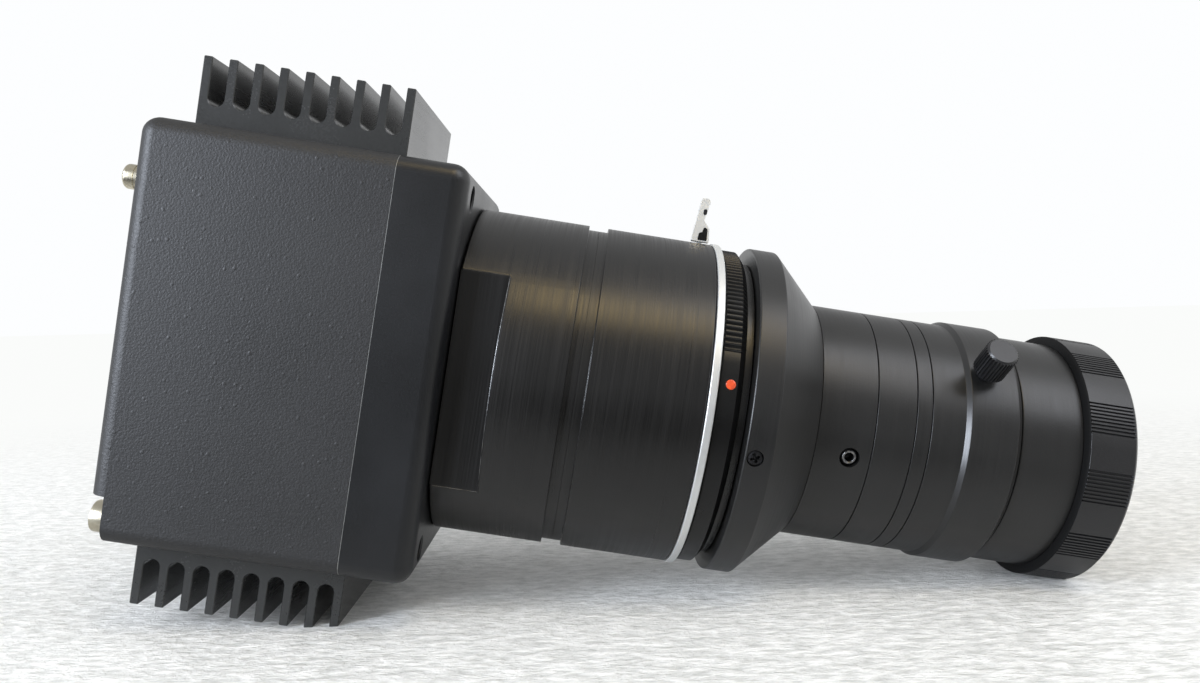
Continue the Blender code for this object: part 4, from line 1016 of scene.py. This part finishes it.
@dataclass
class Tube:
    """Two-piece tube: wrench flats behind, a groove between, the lever's slot in front."""

    shop: Workshop
    radius: float = 31.35
    groove: float = 30.55
    flat: float = 25.0
    flat_front: float = 8.65
    bevel: float = 0.22

    def rear(self) -> None:
        """Rear half, whose radius over the flats is at most the flat's distance over the angle's cosine.

        Another plane breaks each flat's long edges, and a bevel ends it in front.
        """
        radius, groove, front = self.radius, self.groove, self.flat_front
        profile = np.array([
            (0.3, 21.0), (-5.7, 21.0), (-6.0, 20.7), (-6.0, 18.5), (2.5, 18.5), (2.5, 22.5), (front, 22.5),
            (12.15, 26.0), (29.8, 26.0), (30.0, 26.2), (30.0, 28.0), (29.8, 28.2), (22.76, 28.2),
            (22.76, groove), (20.9, groove), (20.8, groove + 0.1), (20.8, radius - 0.08),
            (20.77, radius - 0.02), (20.7, radius), (front + 2 * self.bevel, radius),
            (front, radius - self.bevel), (front, radius), (0.55, radius), (0.3, radius - 0.25)])
        edge = degrees(np.arccos(self.flat / radius))
        spread = np.concatenate([np.linspace(0.0, edge - 2.0, 16), np.linspace(edge - 1.9, edge + 1.9, 15),
                                 np.linspace(edge + 2.0, 90.0, 28)])
        around = np.concatenate([spread, 180 - spread, 180 + spread, -spread]) % 360.0
        angles = np.unique(np.round(around, 6))
        away = from_nearest(angles, 0.0, 2)
        level = self.flat / np.maximum(np.cos(np.radians(away)), 0.01)
        broken_edge = radius * cos(radians(edge / 2)) - 0.05
        level = np.minimum(level, broken_edge / np.cos(np.radians(away - edge / 2)))
        bevelled = (slice(-4, -3), np.clip(level, radius - self.bevel, radius))
        flattened = (slice(-3, None), np.minimum(profile[-3:, 1:], level))
        self.shop.publish("rear_tube_turned", lathe(profile, angles, [bevelled, flattened]), TUBE_BLACK,
                          "rear_tube")
        side = np.linspace(0.8, front, 9)
        x = np.concatenate([side, np.full(41, front + 0.12), side[::-1]])
        swing = np.radians(np.concatenate([
            np.full(9, edge), np.linspace(edge - 0.3, 0.3 - edge, 41), np.full(9, -edge)]))
        rubbed = [wire(x, swing + turn, radius - 0.07, 0.05) for turn in (0.0, np.pi)]
        self.shop.publish("rubbed_flat_edges", joined(rubbed), RUBBED_BLACK)

    def front(self) -> None:
        """Front half, slotted for the release lever."""
        profile = rounded([
            (22.8, 28.5, 0), (30.5, 28.5, 0), (30.5, 22.0, 0.3), (36.0, 22.0, 0.3), (36.0, 27.6, 0),
            (44.6, 27.6, 0.2), (44.6, self.radius, 0.2), (24.5, self.radius, 0.08),
            (24.5, self.groove, 0.12), (22.8, self.groove, 0)], 3)
        slot = prism(box_outline(4.0, 3.2, 0.5, 3), 40.2, 46.0, Along.X)
        slot = slot.put(upright_turn(LEVER_ANGLE), outward(LEVER_ANGLE) * 29.8)
        self.shop.publish("front_tube_turned", lathe(profile, 192), TUBE_BLACK, "front_tube", cutters=[slot])

    def build(self) -> None:
        """Make and dress both halves."""
        self.rear()
        self.front()


@dataclass
class Release:
    """Bayonet ring, sprung release lever and its coil."""

    shop: Workshop
    travel: float = 1.8
    notch_angle: float = 75.0
    notch_half: float = 20.0
    notch_depth: float = 1.8

    def ring(self) -> None:
        """Bright ring, its bore notched for the adapter's tabs to either side of three directions."""
        profile = rounded([(44.8, 22.2, 0.1), (46.2, 22.2, 0.1), (46.2, 31.6, 0.35), (44.8, 31.6, 0.2)], 4)
        bore = profile[:, 1] < 24.0
        notched = from_nearest(circle(180), self.notch_angle, 3) < self.notch_half
        ring = lathe(profile, 180, [(bore, profile[bore, 1:] + np.where(notched, self.notch_depth, 0.0))])
        hole = rod(43.0, 48.0, 1.4, 32).at(*LOCK_PIN)
        self.shop.publish("bright_ring", ring, SATIN_METAL, "mount_ring", cutters=[hole])

    def lever(self) -> None:
        """Bent sheet lever: a lip turned forward, a side folded along it, with a black pad and a rivet."""
        turn = upright_turn(LEVER_ANGLE)
        bend = rounded([(42.6, 23.9, 0.2), (43.6, 23.9, 0.2), (43.6, 40.0, 0.4), (44.3, 40.0, 0.3),
                        (44.3, 41.0, 0.3), (42.6, 41.0, 0.8)], 4)
        fold = rounded([(41.2, 31.9, 0.3), (44.9, 31.9, 0.2), (44.7, 34.8, 0.5), (43.4, 36.4, 0.6),
                        (44.0, 39.0, 0.5), (44.0, 41.0, 0.3), (42.4, 41.0, 0.6)], 4)
        pad = rounded([(42.5, 32.2, 0.2), (44.4, 32.2, 0.2), (44.3, 34.6, 0.3), (43.6, 35.1, 0.3),
                       (43.3, 33.9, 0.3), (42.7, 33.7, 0.3)], 3)
        rivet = box_outline(0.36, 0.6, 0.36, 6) + np.array([43.4, 38.1])
        corner = prism(np.array([(3.5, 41.2), (2.1, 41.2), (3.5, 39.4)]), 41.0, 47.0, Along.X).put(turn)
        self.shop.publish("lever_tab", prism(bend, -2.5, 3.4, Along.Y, 0.12).put(turn), SATIN_METAL,
                          "release_lever", Body.RELEASE, [corner])
        for name, outline, low, high, finish in (("lever_fold", fold, -3.3, -2.45, SATIN_METAL),
                                                 ("lever_pad", pad, -3.45, -3.25, MATT_BLACK_AND_PAINTED_SHADE),
                                                 ("lever_rivet", rivet, -3.45, -3.25, BLACK_STEEL)):
            self.shop.publish(name, prism(outline, low, high, Along.Y, 0.06).put(turn), finish,
                              body=Body.RELEASE, slot="chrome")
        pin = rounded([(43.9, 0.0, 0), (48.2, 0.0, 0), (48.2, 1.1, 0.3), (43.9, 1.1, 0.1)], 4)
        self.shop.publish("lock_pin_turned", lathe(pin, 32).at(*LOCK_PIN), BLACK_STEEL, "lock_pin",
                          Body.RELEASE)

    def spring(self) -> None:
        """Coil of four turns behind the lever, built at one length, though the real coil shortens as the
        lever slides back.
        """
        low, high, wire_radius = 36.4, 42.3, 0.3
        x = np.linspace(low + wire_radius, high - wire_radius, 97)
        helix = wire(x, np.radians(np.linspace(0.0, 4 * 360.0, 97)), 1.3, wire_radius)
        piece = self.shop.publish("lever_coil", helix.at(*LOCK_PIN), SPRING_STEEL, "lever_spring")
        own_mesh(piece)

    def build(self) -> None:
        """Make and dress the release."""
        self.ring()
        self.lever()
        self.spring()


@dataclass
class Adapter:
    """Bayonet adapter with its finger grip and index dot, and the spacer in front of it."""

    shop: Workshop
    radius: float = 30.7
    grip_spans: tuple[tuple[float, float], ...] = ((23.0, 150.0), (210.0, 270.0))
    grip_depth: float = 0.36
    grip_pitch: float = 2.05
    tab_angle: float = 15.0
    tab_half: float = 18.0
    tab_root: float = 21.7
    dot_angle: float = 12.3
    dot_x: float = 48.35
    dot_radius: float = 0.85

    def ring(self) -> None:
        """Grip ring: narrow round-topped bars in two spans, plain between, with three tabs behind."""
        bar = ((0.0, 0.45), (0.12, 0.08), (0.2, 0.0), (0.28, 0.08), (0.4, 0.45), (0.56, 0.95), (0.7, 1.0),
               (0.84, 0.95))
        angles, depths = toothed(self.grip_spans, self.grip_pitch, bar, 2.0)
        radius = self.radius
        profile = np.array([
            (43.3, 19.5), (43.3, 23.3), (43.5, 23.5), (44.3, 23.5), (44.5, 23.3), (44.55, 21.8),
            (46.45, 21.8), (46.45, radius - 0.3), (46.7, radius), (49.5, radius), (50.5, radius - 1.2),
            (50.5, 25.7), (54.7, 25.7), (54.9, 25.5), (54.9, 19.5)])
        between = from_nearest(angles, self.tab_angle, 3) > self.tab_half
        tabs, grip = slice(1, 5), slice(7, 10)
        ring = lathe(profile, angles, [(tabs, np.where(between, self.tab_root, profile[tabs, 1:])),
                                       (grip, profile[grip, 1:] - self.grip_depth * depths)])
        hole = rod(45.0, 48.5, 1.4, 24).at(*LOCK_PIN)
        self.shop.publish("adapter_grip", ring, LACQUER_BLACK, "adapter_ring", cutters=[hole])

    def dot(self) -> None:
        """Index dot: a low dome of enamel bent to the ring, its radius grid mapped onto the ring's curve."""
        radius, turn = np.meshgrid(np.linspace(0.0, 1.0, 9), np.radians(circle(32)), indexing="ij")
        along = self.dot_x + self.dot_radius * radius * np.cos(turn)
        arc = np.radians(self.dot_angle) + self.dot_radius * radius * np.sin(turn) / self.radius
        dome = self.radius + 0.02 + 0.13 * np.sqrt(np.maximum(1 - radius ** 2, 0.0))
        under = np.full_like(dome, self.radius - 0.1)
        top, bottom = (np.stack([along, -level * np.cos(arc), level * np.sin(arc)], -1)
                       for level in (dome, under))
        self.shop.publish("index_dot", loft(np.concatenate([top, bottom[::-1]]), capped=False), INDEX_ENAMEL)

    def spacer(self) -> None:
        """Thin ring between the adapter and the lens flange."""
        profile = rounded([(50.65, 26.0, 0), (52.05, 26.0, 0), (52.05, 28.6, 0.15), (50.65, 28.6, 0.15)], 3)
        self.shop.publish("spacer_turned", lathe(profile, 160), GLOSS_BLACK, "spacer_ring")

    def build(self) -> None:
        """Make and dress the adapter."""
        self.ring()
        self.dot()
        self.spacer()


@dataclass
class LensRear:
    """Lens flange with its cone, the rear barrel, two barrel rings and their screws."""

    shop: Workshop
    flange: float = 31.8
    angles: tuple[float, ...] = (-9.0, 111.0, 231.0)
    flange_screw_x: float = 54.1
    set_screw_x: float = 72.5

    def holes(self, x: float, low: float, high: float, radius: float) -> list[Shape]:
        """Radial screw holes at one x, between two distances from the axis."""
        return [rod(low, high, radius, 40).put(radial_turn(angle), (x, 0, 0)) for angle in self.angles]

    def turned_parts(self) -> None:
        """Flange, barrel and rings, each turned, with round-edged joints between."""
        flange = [
            (52.2, 26.0, 0), (55.5, 26.0, 0), (55.5, 20.0, 0), (60.0, 15.5, 0), (75.2, 15.5, 0.2),
            (75.2, 18.0, 0.2), (66.08, 18.0, 0), (66.08, BARREL, 0.1), (57.0, self.flange, 0.35),
            (52.2, self.flange, 0.4)]
        rear = [
            (66.2, 18.3, 0), (75.5, 18.3, 0), (75.5, 17.6, 0), (80.0, 17.6, 0.2), (80.0, 19.6, 0.2),
            (76.1, 19.6, 0), (76.15, BARREL, 0.1), (66.15, BARREL, 0.08)]
        one = [
            (76.3, 19.9, 0), (80.3, 19.9, 0), (80.3, 17.6, 0), (88.7, 17.6, 0.2), (88.7, 19.6, 0.2),
            (83.25, 19.6, 0), (83.25, BARREL, 0.1), (76.3, BARREL, 0.1)]
        two = [(83.4, 19.9, 0), (86.05, 19.9, 0), (86.05, BARREL, 0.1), (83.4, BARREL, 0.1)]
        for name, corners, steps, node, cutters in (
                ("flange", flange, 4, "lens_flange", self.holes(self.flange_screw_x, 25.0, 33.0, 1.45)),
                ("rear_barrel", rear, 3, "rear_barrel", self.holes(self.set_screw_x, 18.1, 24.0, 1.8)),
                ("barrel_ring_one", one, 3, "barrel_ring_one", ()),
                ("barrel_ring_two", two, 3, "barrel_ring_two", ())):
            self.shop.publish(f"{name}_turned", lathe(rounded(corners, steps), 192), LENS_BLACK, node,
                              cutters=cutters)

    def cross_screw(self) -> Shape:
        """Cross-head screw: on the domed top, depth follows a cross with sloping walls.

        Returns:
            The screw with its top outwards along X.
        """
        head, arm, half_width, depth = 1.3, 0.85, 0.24, 0.65
        radius = np.linspace(0.0, head, 22)
        top = np.stack([31.75 - 0.25 * (radius / head) ** 2, radius], 1)
        profile = np.concatenate([[(26.4, 0.0)], top, [(30.9, head), (30.9, 1.0), (26.4, 1.0)]])
        swing = np.radians(circle(96) + 25.0)
        u = np.abs(top[:, 1:] * np.cos(swing))
        v = np.abs(top[:, 1:] * np.sin(swing))
        end = np.clip(-np.minimum(np.maximum(u, v) - arm, 0.0) / 0.2, 0.0, 1.0)
        wall = np.clip((half_width - np.minimum(u, v)) / 0.1, 0.0, 1.0) * end
        return lathe(profile, 96, levels=[(slice(1, 1 + len(top)), top[:, :1] - depth * wall)])

    def set_screw(self) -> Shape:
        """Headless screw with a chamfered rim and a hexagon socket.

        Returns:
            The screw with its socket outwards along X.
        """
        profile = np.array([(18.6, 0.0), (19.9, 0.0), (20.2, 0.8), (22.2, 0.8), (22.25, 0.9), (22.25, 1.3),
                            (21.95, 1.62), (18.9, 1.62), (18.6, 1.3)])
        return lathe(profile, 72, [(slice(2, 4), many_sided(circle(72), 0.78))])

    def build(self) -> None:
        """Make and dress the lens's rear half."""
        self.turned_parts()
        rim = rounded([(22.2, 0.84, 0), (22.42, 0.88, 0.08), (22.42, 1.2, 0.12), (22.2, 1.26, 0)], 3)
        pieces = (("socket_rim", lathe(rim, 48), self.set_screw_x, WORN_STEEL, ""),
                  ("cross_screw", self.cross_screw(), self.flange_screw_x, BLACK_STEEL, "flange_screw_"),
                  ("socket_screw", self.set_screw(), self.set_screw_x, BLACK_STEEL, "set_screw_"))
        for number, angle in enumerate(self.angles, 1):
            for name, shape, x, finish, nodes in pieces:
                self.shop.publish(f"{name}_{number}", shape.put(radial_turn(angle), (x, 0, 0)), finish,
                                  f"{nodes}{number}" if nodes else "")


@dataclass
class Focus:
    """Focus collar with its lock screw, and the barrel and knurled ring that turn in it."""

    shop: Workshop
    collar_radius: float = 23.4
    screw_x: float = 95.6
    screw_angle: float = 38.5
    screw_pitch: float = 11.25
    screw_groove: float = 0.24
    patches: int = 12
    patch_centre: float = 25.0
    ring_radius: float = 23.8
    ring_bore: float = 21.1
    ring_pitch: float = 1.67
    ring_groove: float = 0.38

    def collar(self) -> None:
        """Collar with a sloping rear shoulder, a broken front edge and the lens cell's key inside."""
        profile = rounded([
            (86.3, 19.9, 0), (89.0, 19.9, 0), (89.0, 17.3, 0.1), (91.0, 17.3, 0.1), (91.0, 21.2, 0),
            (102.5, 21.2, 0.1), (102.5, 22.4, 0.25), (101.5, self.collar_radius, 0.3),
            (93.0, self.collar_radius, 0.3), (92.2, BARREL, 0.1), (86.2, BARREL, 0.1)], 4)
        hole = rod(20.0, 25.0, 1.6, 32).put(radial_turn(self.screw_angle), (self.screw_x, 0, 0))
        self.shop.publish("collar_turned", lathe(profile, 192), LENS_BLACK, "focus_collar", cutters=[hole])
        key = prism(box_outline(0.65, 0.85, 0.2, 2), 16.2, 17.6, Along.X)
        self.shop.publish("collar_key", key.put(radial_turn(180.0), (90.0, 0, 0)), BLACK_STEEL,
                          slot="lens_anodised")

    def lock_screw(self) -> None:
        """Lock screw: a straight-knurled head with broken edges on a thin neck."""
        bar = ((0.0, 0.0), (0.4, 0.0), (0.55, 1.0), (0.85, 1.0))
        angles, depths = toothed(((0.0, 360.0),), self.screw_pitch, bar, 30.0)
        head = 2.9
        profile = np.array([
            (21.2, 0.0), (30.9, 0.0), (30.9, 1.2), (30.9, 2.42), (30.6, 2.68), (30.5, head), (25.2, head),
            (24.9, 2.6), (24.8, 2.4), (24.8, 1.35), (21.4, 1.35), (21.2, 1.15)])
        screw = lathe(profile, angles, [(slice(5, 7), head - self.screw_groove * depths)])
        screw = screw.put(radial_turn(self.screw_angle), (self.screw_x, 0, 0))
        self.shop.publish("lock_screw_knurled", screw, GRIP_BLACK, "thumbscrew", Body.LOCK_SCREW)

    def front_barrel(self) -> None:
        """Thin barrel that turns in the collar."""
        profile = rounded([
            (91.4, 18.9, 0), (121.0, 18.9, 0.2), (121.0, 20.8, 0.2), (113.9, 20.8, 0), (113.9, 22.1, 0.06),
            (102.8, 22.1, 0.25), (102.8, 20.9, 0), (91.4, 20.9, 0.2)], 3)
        self.shop.publish("front_barrel_turned", lathe(profile, 192), LENS_BLACK, "front_barrel",
                          Body.BARREL)

    def front_ring(self) -> None:
        """Grip ring: fine-grooved patches between smooth ones, a threaded mouth, a near-black shoulder
        behind whose colour is painted shade.

        The shoulder is a quarter ellipse: at angle t its x goes with 1 - cos t and its radius with sin t.
        """
        half = 90.0 / self.patches
        middles = [self.patch_centre + 360.0 * number / self.patches for number in range(self.patches)]
        bar = ((0.0, 0.0), (0.22, 0.0), (0.45, 0.0), (0.6, 1.0), (0.85, 1.0))
        spans = [(middle - half, middle + half) for middle in middles]
        angles, depths = toothed(spans, self.ring_pitch, bar, 2.5)
        outer, bore = self.ring_radius, self.ring_bore
        profile = np.concatenate([
            [(114.4, bore), (121.3, bore), (121.3, 19.8)], thread(121.5, 123.0, 19.8, 0.6, -0.22),
            [(123.2, 20.2), (123.2, outer - 0.75), (123.1, outer - 0.55), (122.6, outer - 0.06),
             (122.4, outer), (114.42, outer), (114.4, outer - 0.02)]])
        ring = lathe(profile, angles, [(slice(-3, -1), outer - self.ring_groove * depths)])
        self.shop.publish("front_ring_knurled", ring, GRIP_BLACK, "front_ring", Body.BARREL)
        rear, length = 114.0, 0.38
        swing = np.radians(np.linspace(90.0, 0.0, 9))
        curve = np.stack([rear + length * (1 - np.cos(swing)), 22.0 + (outer - 22.05) * np.sin(swing)], 1)
        shoulder = np.concatenate([[(rear, bore), (rear + length, bore)], curve])
        # The shoulder's finish is matt, and its near-black colour is painted shade for the dark band behind
        # the ring
        self.shop.publish("front_ring_shoulder", lathe(shoulder, 192), MATT_BLACK_AND_PAINTED_SHADE, body=Body.BARREL)

    def build(self) -> None:
        """Make and dress the focusing parts."""
        self.collar()
        self.lock_screw()
        self.front_barrel()
        self.front_ring()


@dataclass
class Optics:
    """Sliding lens cell, its glasses and retaining rings."""

    shop: Workshop

    def cell(self) -> None:
        """Cell with seats for three glasses, a grooved baffle and the keyway."""
        baffle = thread(91.4, 96.8, 12.0, 0.6, -0.25)
        baffle[:, 1] += np.linspace(0.0, -4.0, len(baffle))
        profile = np.concatenate([
            [(84.0, 14.2), (91.2, 14.2), (91.2, 12.0)], baffle,
            [(97.0, 8.0), (100.5, 8.0), (100.5, 12.9), (108.0, 12.9), (108.0, 16.4)],
            thread(113.0, 117.3, 16.4, 0.75, -0.2),
            [(117.5, 16.7), (117.5, 18.3), (117.2, 18.6), (103.0, 18.6), (103.0, 17.0), (84.2, 17.0),
             (84.0, 16.8)]])
        keyway = block((84.0, 15.9, -1.2), (92.0, 18.0, 1.2))
        self.shop.publish("cell_turned", lathe(profile, 120), LENS_BLACK, "lens_cell", Body.CARRIAGE,
                          [keyway])

    def glasses(self) -> None:
        """Three elements between spherical or flat faces."""
        for name, rear, front in (
                ("rear_element", sphere_cap(13.9, -2.6, 88.0), np.array([(90.9, 13.9), (90.9, 0.0)])),
                ("inner_element", np.array([(100.8, 12.6), (100.8, 0.0)]), sphere_cap(12.6, 2.0, 105.0)),
                ("front_element", sphere_cap(16.1, 1.2, 108.3), sphere_cap(16.1, 3.0, 112.0))):
            profile = np.concatenate([front, rear[::-1]])
            self.shop.publish(f"{name}_glass", lathe(profile, 120), GLASS, name, Body.CARRIAGE)

    def retainers(self) -> None:
        """Threaded rings with two spanner slots each."""
        for name, (low, low_bore), (high, high_bore), outer, face in (
                ("rear", (84.6, 11.8), (87.6, 12.8), 13.9, (84.0, 85.4)),
                ("front", (112.8, 15.0), (115.2, 14.4), 16.1, (114.4, 116.0))):
            corners = ((low, low_bore), (high, high_bore), (high, outer), (low, outer))
            profile = rounded([(x, radius, 0.1) for x, radius in corners], 2)
            slots = [block((face[0], y, -0.6), (face[1], y + 4.0, 0.6)) for y in (-outer - 1.5, outer - 2.5)]
            self.shop.publish(f"{name}_retainer", lathe(profile, 120), LENS_BLACK, f"{name}_retaining_ring",
                              Body.CARRIAGE, slots)

    def build(self) -> None:
        """Make and dress the optics."""
        self.cell()
        self.glasses()
        self.retainers()


@dataclass
class InnerParts:
    """CAD nodes that keep their shape and get a finish."""

    nodes: dict[str, bpy.types.Object]

    def dress(self, finish: Finish, names: Sequence[str]) -> None:
        """Give nodes a finish.

        Args:
            finish: what they are made of.
            names: the nodes.
        """
        for name in names:
            self.nodes[name].material_slots[0].material = finish.material()
            LOG.info("%s keeps its shape, %s", name, finish.name)

    def build(self) -> None:
        """Dress every node that still shows."""
        self.dress(GLASS, ["sensor_window"])
        self.dress(CERAMIC, ["image_sensor"])
        self.dress(BOARD, ["sensor_board", "processing_board", "interface_board"])
        self.dress(BLACK_PLASTIC, ["front_board_link", "rear_board_link"])
        self.dress(NICKEL, [f"board_post_{number}" for number in range(1, 5)])
        self.dress(BLACK_STEEL, [
            f"{level}_cooler_screw_{side}" for level in ("upper", "lower") for side in SIDES])


# Studio


@dataclass
class Studio:
    """Camera, pale floor, white surround and four soft lamps, in millimetres from the optical axis."""

    origin: np.ndarray
    camera_place: tuple[float, float, float] = (21.6, -185.459, 16.434)
    camera_right: tuple[float, float, float] = (0.9879, -0.01901, 0.15395)
    camera_up: tuple[float, float, float] = (-0.15303, 0.04266, 0.9873)
    focal_length: float = 27.99
    rear_contact: tuple[float, float] = (-12.4, -47.1)
    front_contact: tuple[float, float] = (122.4, -22.5)
    floor_half: float = 2500.0
    floor_cells: int = 40

    def point(self, place: Sequence[float]) -> Vector:
        """A place by the optical axis as a point of the frame in metres."""
        return Vector(((self.origin + np.asarray(place, float)) * MM).tolist())

    def camera(self) -> None:
        """Camera at the photograph's viewpoint."""
        data = bpy.data.cameras.new("camera")
        data.sensor_fit = 'HORIZONTAL'
        data.sensor_width = 36.0
        data.lens = self.focal_length
        data.clip_start = 0.005
        right = Vector(self.camera_right).normalized()
        back = right.cross(Vector(self.camera_up)).normalized()
        up = back.cross(right)
        view = placed("camera", data)
        turn = Matrix((right, up, back)).transposed().to_4x4()
        view.matrix_world = Matrix.Translation(self.point(self.camera_place)) @ turn
        bpy.context.scene.camera = view

    def floor(self) -> None:
        """Wide plane that gives a little at the camera's two points of rest: z rises evenly with x."""
        count = self.floor_cells + 1
        places = np.linspace(-self.floor_half, self.floor_half, count)
        x, y = np.meshgrid(places, places, indexing="ij")
        rear, front = self.rear_contact, self.front_contact
        z = rear[1] + (front[1] - rear[1]) / (front[0] - rear[0]) * (x - rear[0])
        points = (np.stack([x, y, z], -1).reshape(-1, 3) + self.origin) * MM
        row, column = np.meshgrid(np.arange(self.floor_cells), np.arange(self.floor_cells), indexing="ij")
        corner = row * count + column
        faces = np.stack([corner, corner + count, corner + count + 1, corner + 1], -1).reshape(-1, 4)
        mesh = bpy.data.meshes.new("floor")
        mesh.from_pydata(points.tolist(), [], faces.tolist())
        ground = placed("floor", mesh)
        mesh.materials.append(self.floor_material())

    def floor_material(self) -> bpy.types.Material:
        """White packing foam: a fine drawn-out grain that glints, and fades into the white surround.

        Mirrored in the camera it darkens towards the viewer: a dark grey glow there is a painted reflection
        of the viewer, who stands there and shades it.

        Returns:
            The material.
        """
        grains_per_metre = (260.0, 620.0, 620.0)
        grain_height, fade_from, fade_to = 0.0013, 0.1, 0.44
        made = bpy.data.materials.new("white packing foam")
        made.use_nodes = True
        tree = made.node_tree
        place = add_node(tree, "TexCoord", {}).outputs["Object"]
        drawn = add_node(tree, "Mapping", {"Scale": grains_per_metre, "Vector": place})
        cells = add_node(tree, "TexNoise", {
            "Scale": 1.0, "Detail": 6.0, "Roughness": 0.68, "Vector": drawn})
        bump = add_node(tree, "Bump", {"Distance": grain_height, "Strength": 0.8, "Height": cells})
        tone = add_node(tree, "MapRange", {0: cells, 1: 0.35, 2: 0.65})
        colour = add_node(tree, "Mix", {
            "data_type": 'RGBA', 0: tone, 6: linear("#c8c9c6"), 7: linear("#f6f6f4")})
        foam = fill_node(tree, tree.nodes["Principled BSDF"], {
            "Roughness": 0.4, "Base Color": colour.outputs[2], "Normal": bump})
        reach = add_node(tree, "VectorMath", {"operation": 'LENGTH', 0: place})
        fade = add_node(tree, "MapRange", {
            "interpolation_type": 'SMOOTHSTEP', 0: reach.outputs["Value"], 1: fade_from, 2: fade_to})
        rays = add_node(tree, "LightPath", {}).outputs
        seen = add_node(tree, "Math", {
            "operation": 'MAXIMUM', 0: rays["Is Camera Ray"], 1: rays["Is Glossy Ray"]})
        seen = add_node(tree, "Math", {
            "operation": 'MAXIMUM', 0: seen, 1: rays["Is Transmission Ray"]})
        share = add_node(tree, "Math", {"operation": 'MULTIPLY', 0: fade, 1: seen})
        white = add_node(tree, "Emission", {"Color": (0.96, 0.97, 0.96, 1.0), "Strength": 1.0})
        mixed = add_node(tree, "MixShader", {0: share, 1: foam, 2: white})
        parts = add_node(tree, "SeparateXYZ", {0: place}).outputs
        # Painted reflection: in shiny surfaces, the floor on the viewer's side turns to a dark grey glow
        # that stands in for the viewer
        nearer = add_node(tree, "MapRange", {0: parts["Y"], 1: 0.05, 2: -0.13})
        beside = add_node(tree, "MapRange", {0: parts["X"], 1: 0.08, 2: 0.25, 3: 1.0, 4: 0.5})
        shade = add_node(tree, "Math", {"operation": 'MULTIPLY', 0: nearer, 1: beside})
        shade = add_node(tree, "Math", {"operation": 'MULTIPLY', 0: shade, 1: rays["Is Glossy Ray"]})
        painted_viewer_reflection = add_node(tree, "Emission", {"Color": (0.06, 0.06, 0.06, 1.0), "Strength": 1.0})
        mixed = add_node(tree, "MixShader", {0: shade, 1: mixed, 2: painted_viewer_reflection})
        fill_node(tree, tree.nodes["Material Output"], {"Surface": mixed})
        return made

    def surround(self) -> None:
        """White world, graded by heading where it is mirrored and where it gives light.

        Mirrored, it is white low down beyond the object, grey overhead and dark on the viewer's side. As
        light it is strongest from the viewer's side, which keeps the shadow under the lens open.
        """
        world = bpy.data.worlds.new("surround")
        world.use_nodes = True
        bpy.context.scene.world = world
        tree = world.node_tree
        heading = add_node(tree, "TexCoord", {}).outputs["Generated"]
        parts = add_node(tree, "SeparateXYZ", {0: heading}).outputs

        def graded(axis: str, low: float, high: float, first: float, last: float) -> bpy.types.Node:
            """Smooth change from first to last as one part of the heading goes from low to high."""
            return add_node(tree, "MapRange", {
                "interpolation_type": 'SMOOTHSTEP', 0: parts[axis], 1: low, 2: high, 3: first, 4: last})

        mirrored = add_node(tree, "Math", {
            "operation": 'MULTIPLY_ADD', 0: graded("Y", 0.1, 0.5, 0.0, 0.42),
            1: graded("Z", 0.55, 0.1, 0.0, 1.0), 2: graded("Y", -0.95, 0.0, 0.26, 0.55)})
        mirrored = add_node(tree, "Math", {
            "operation": 'MULTIPLY_ADD', "use_clamp": True, 0: graded("X", 0.3, 0.9, 0.0, 0.55),
            1: graded("Y", -0.5, 0.15, 0.1, 1.0), 2: mirrored})
        rays = add_node(tree, "LightPath", {}).outputs
        glossy = add_node(tree, "Math", {
            "operation": 'MAXIMUM', 0: rays["Is Glossy Ray"], 1: rays["Is Transmission Ray"]})
        level = add_node(tree, "Mix", {0: glossy, 2: graded("Y", -1.0, 1.0, 1.35, 0.65), 3: mirrored})
        shown = add_node(tree, "Mix", {0: rays["Is Camera Ray"], 2: level, 3: 1.0})
        fill_node(tree, tree.nodes["Background"], {"Color": (0.98, 0.99, 1.0, 1.0), "Strength": shown})

    def lamp(self, name: str, place: Sequence[float], aim: Sequence[float], size: tuple[float, float],
             power: float, colour: str, mirrored: bool = True) -> None:
        """Soft rectangular lamp.

        Args:
            name: the lamp's name.
            place: in millimetres by the optical axis.
            aim: point that it faces.
            size: width and height in metres.
            power: in watts.
            colour: sRGB hex.
            mirrored: whether shiny surfaces show it.
        """
        data = bpy.data.lights.new(name, 'AREA')
        data.shape = 'RECTANGLE'
        data.size, data.size_y = size
        data.energy = power
        data.color = linear(colour)[:3]
        light = placed(name, data)
        light.location = self.point(place)
        light.visible_glossy = mirrored
        light.rotation_euler = (self.point(aim) - self.point(place)).to_track_quat('-Z', 'Y').to_euler()

    def build(self) -> None:
        """Set up the whole studio."""
        bpy.context.scene.view_settings.view_transform = 'Standard'
        self.camera()
        self.floor()
        self.surround()
        body, lens = (20.0, 0.0, 0.0), (80.0, 0.0, 0.0)
        self.lamp("warm ceiling lamp", (40.0, -400.0, 690.0), body, (0.28, 0.26), 0.95, "#ffe09e")
        self.lamp("cool ceiling lamp", (430.0, -320.0, 720.0), lens, (0.4, 0.6), 2.0, "#f4f7ff")
        self.lamp("window", (-620.0, -470.0, 100.0), body, (0.22, 0.42), 8.0, "#e9f1ff")
        self.lamp("room", (800.0, -250.0, 250.0), (80.0, 0.0, -20.0), (0.6, 0.5), 1.5, "#fffaf0",
                  mirrored=False)


def main() -> None:
    """Build the studio and every sub-assembly."""
    logging.basicConfig(level=logging.INFO, format="%(name)s: %(message)s")
    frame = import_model()
    low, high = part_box("front_plate")
    origin = np.array([high.x, (low.y + high.y) / 2, (low.z + high.z) / 2]) / MM
    shop = Workshop(origin)
    for assembly in (Studio(origin), CameraBody(shop), Coolers(shop), RearPanel(shop), Tube(shop),
                     Release(shop), Adapter(shop), LensRear(shop), Focus(shop), Optics(shop),
                     InnerParts(frame["nodes"])):
        assembly.build()
        LOG.info("%s done", type(assembly).__name__)


if __name__ == "__main__":
    main()
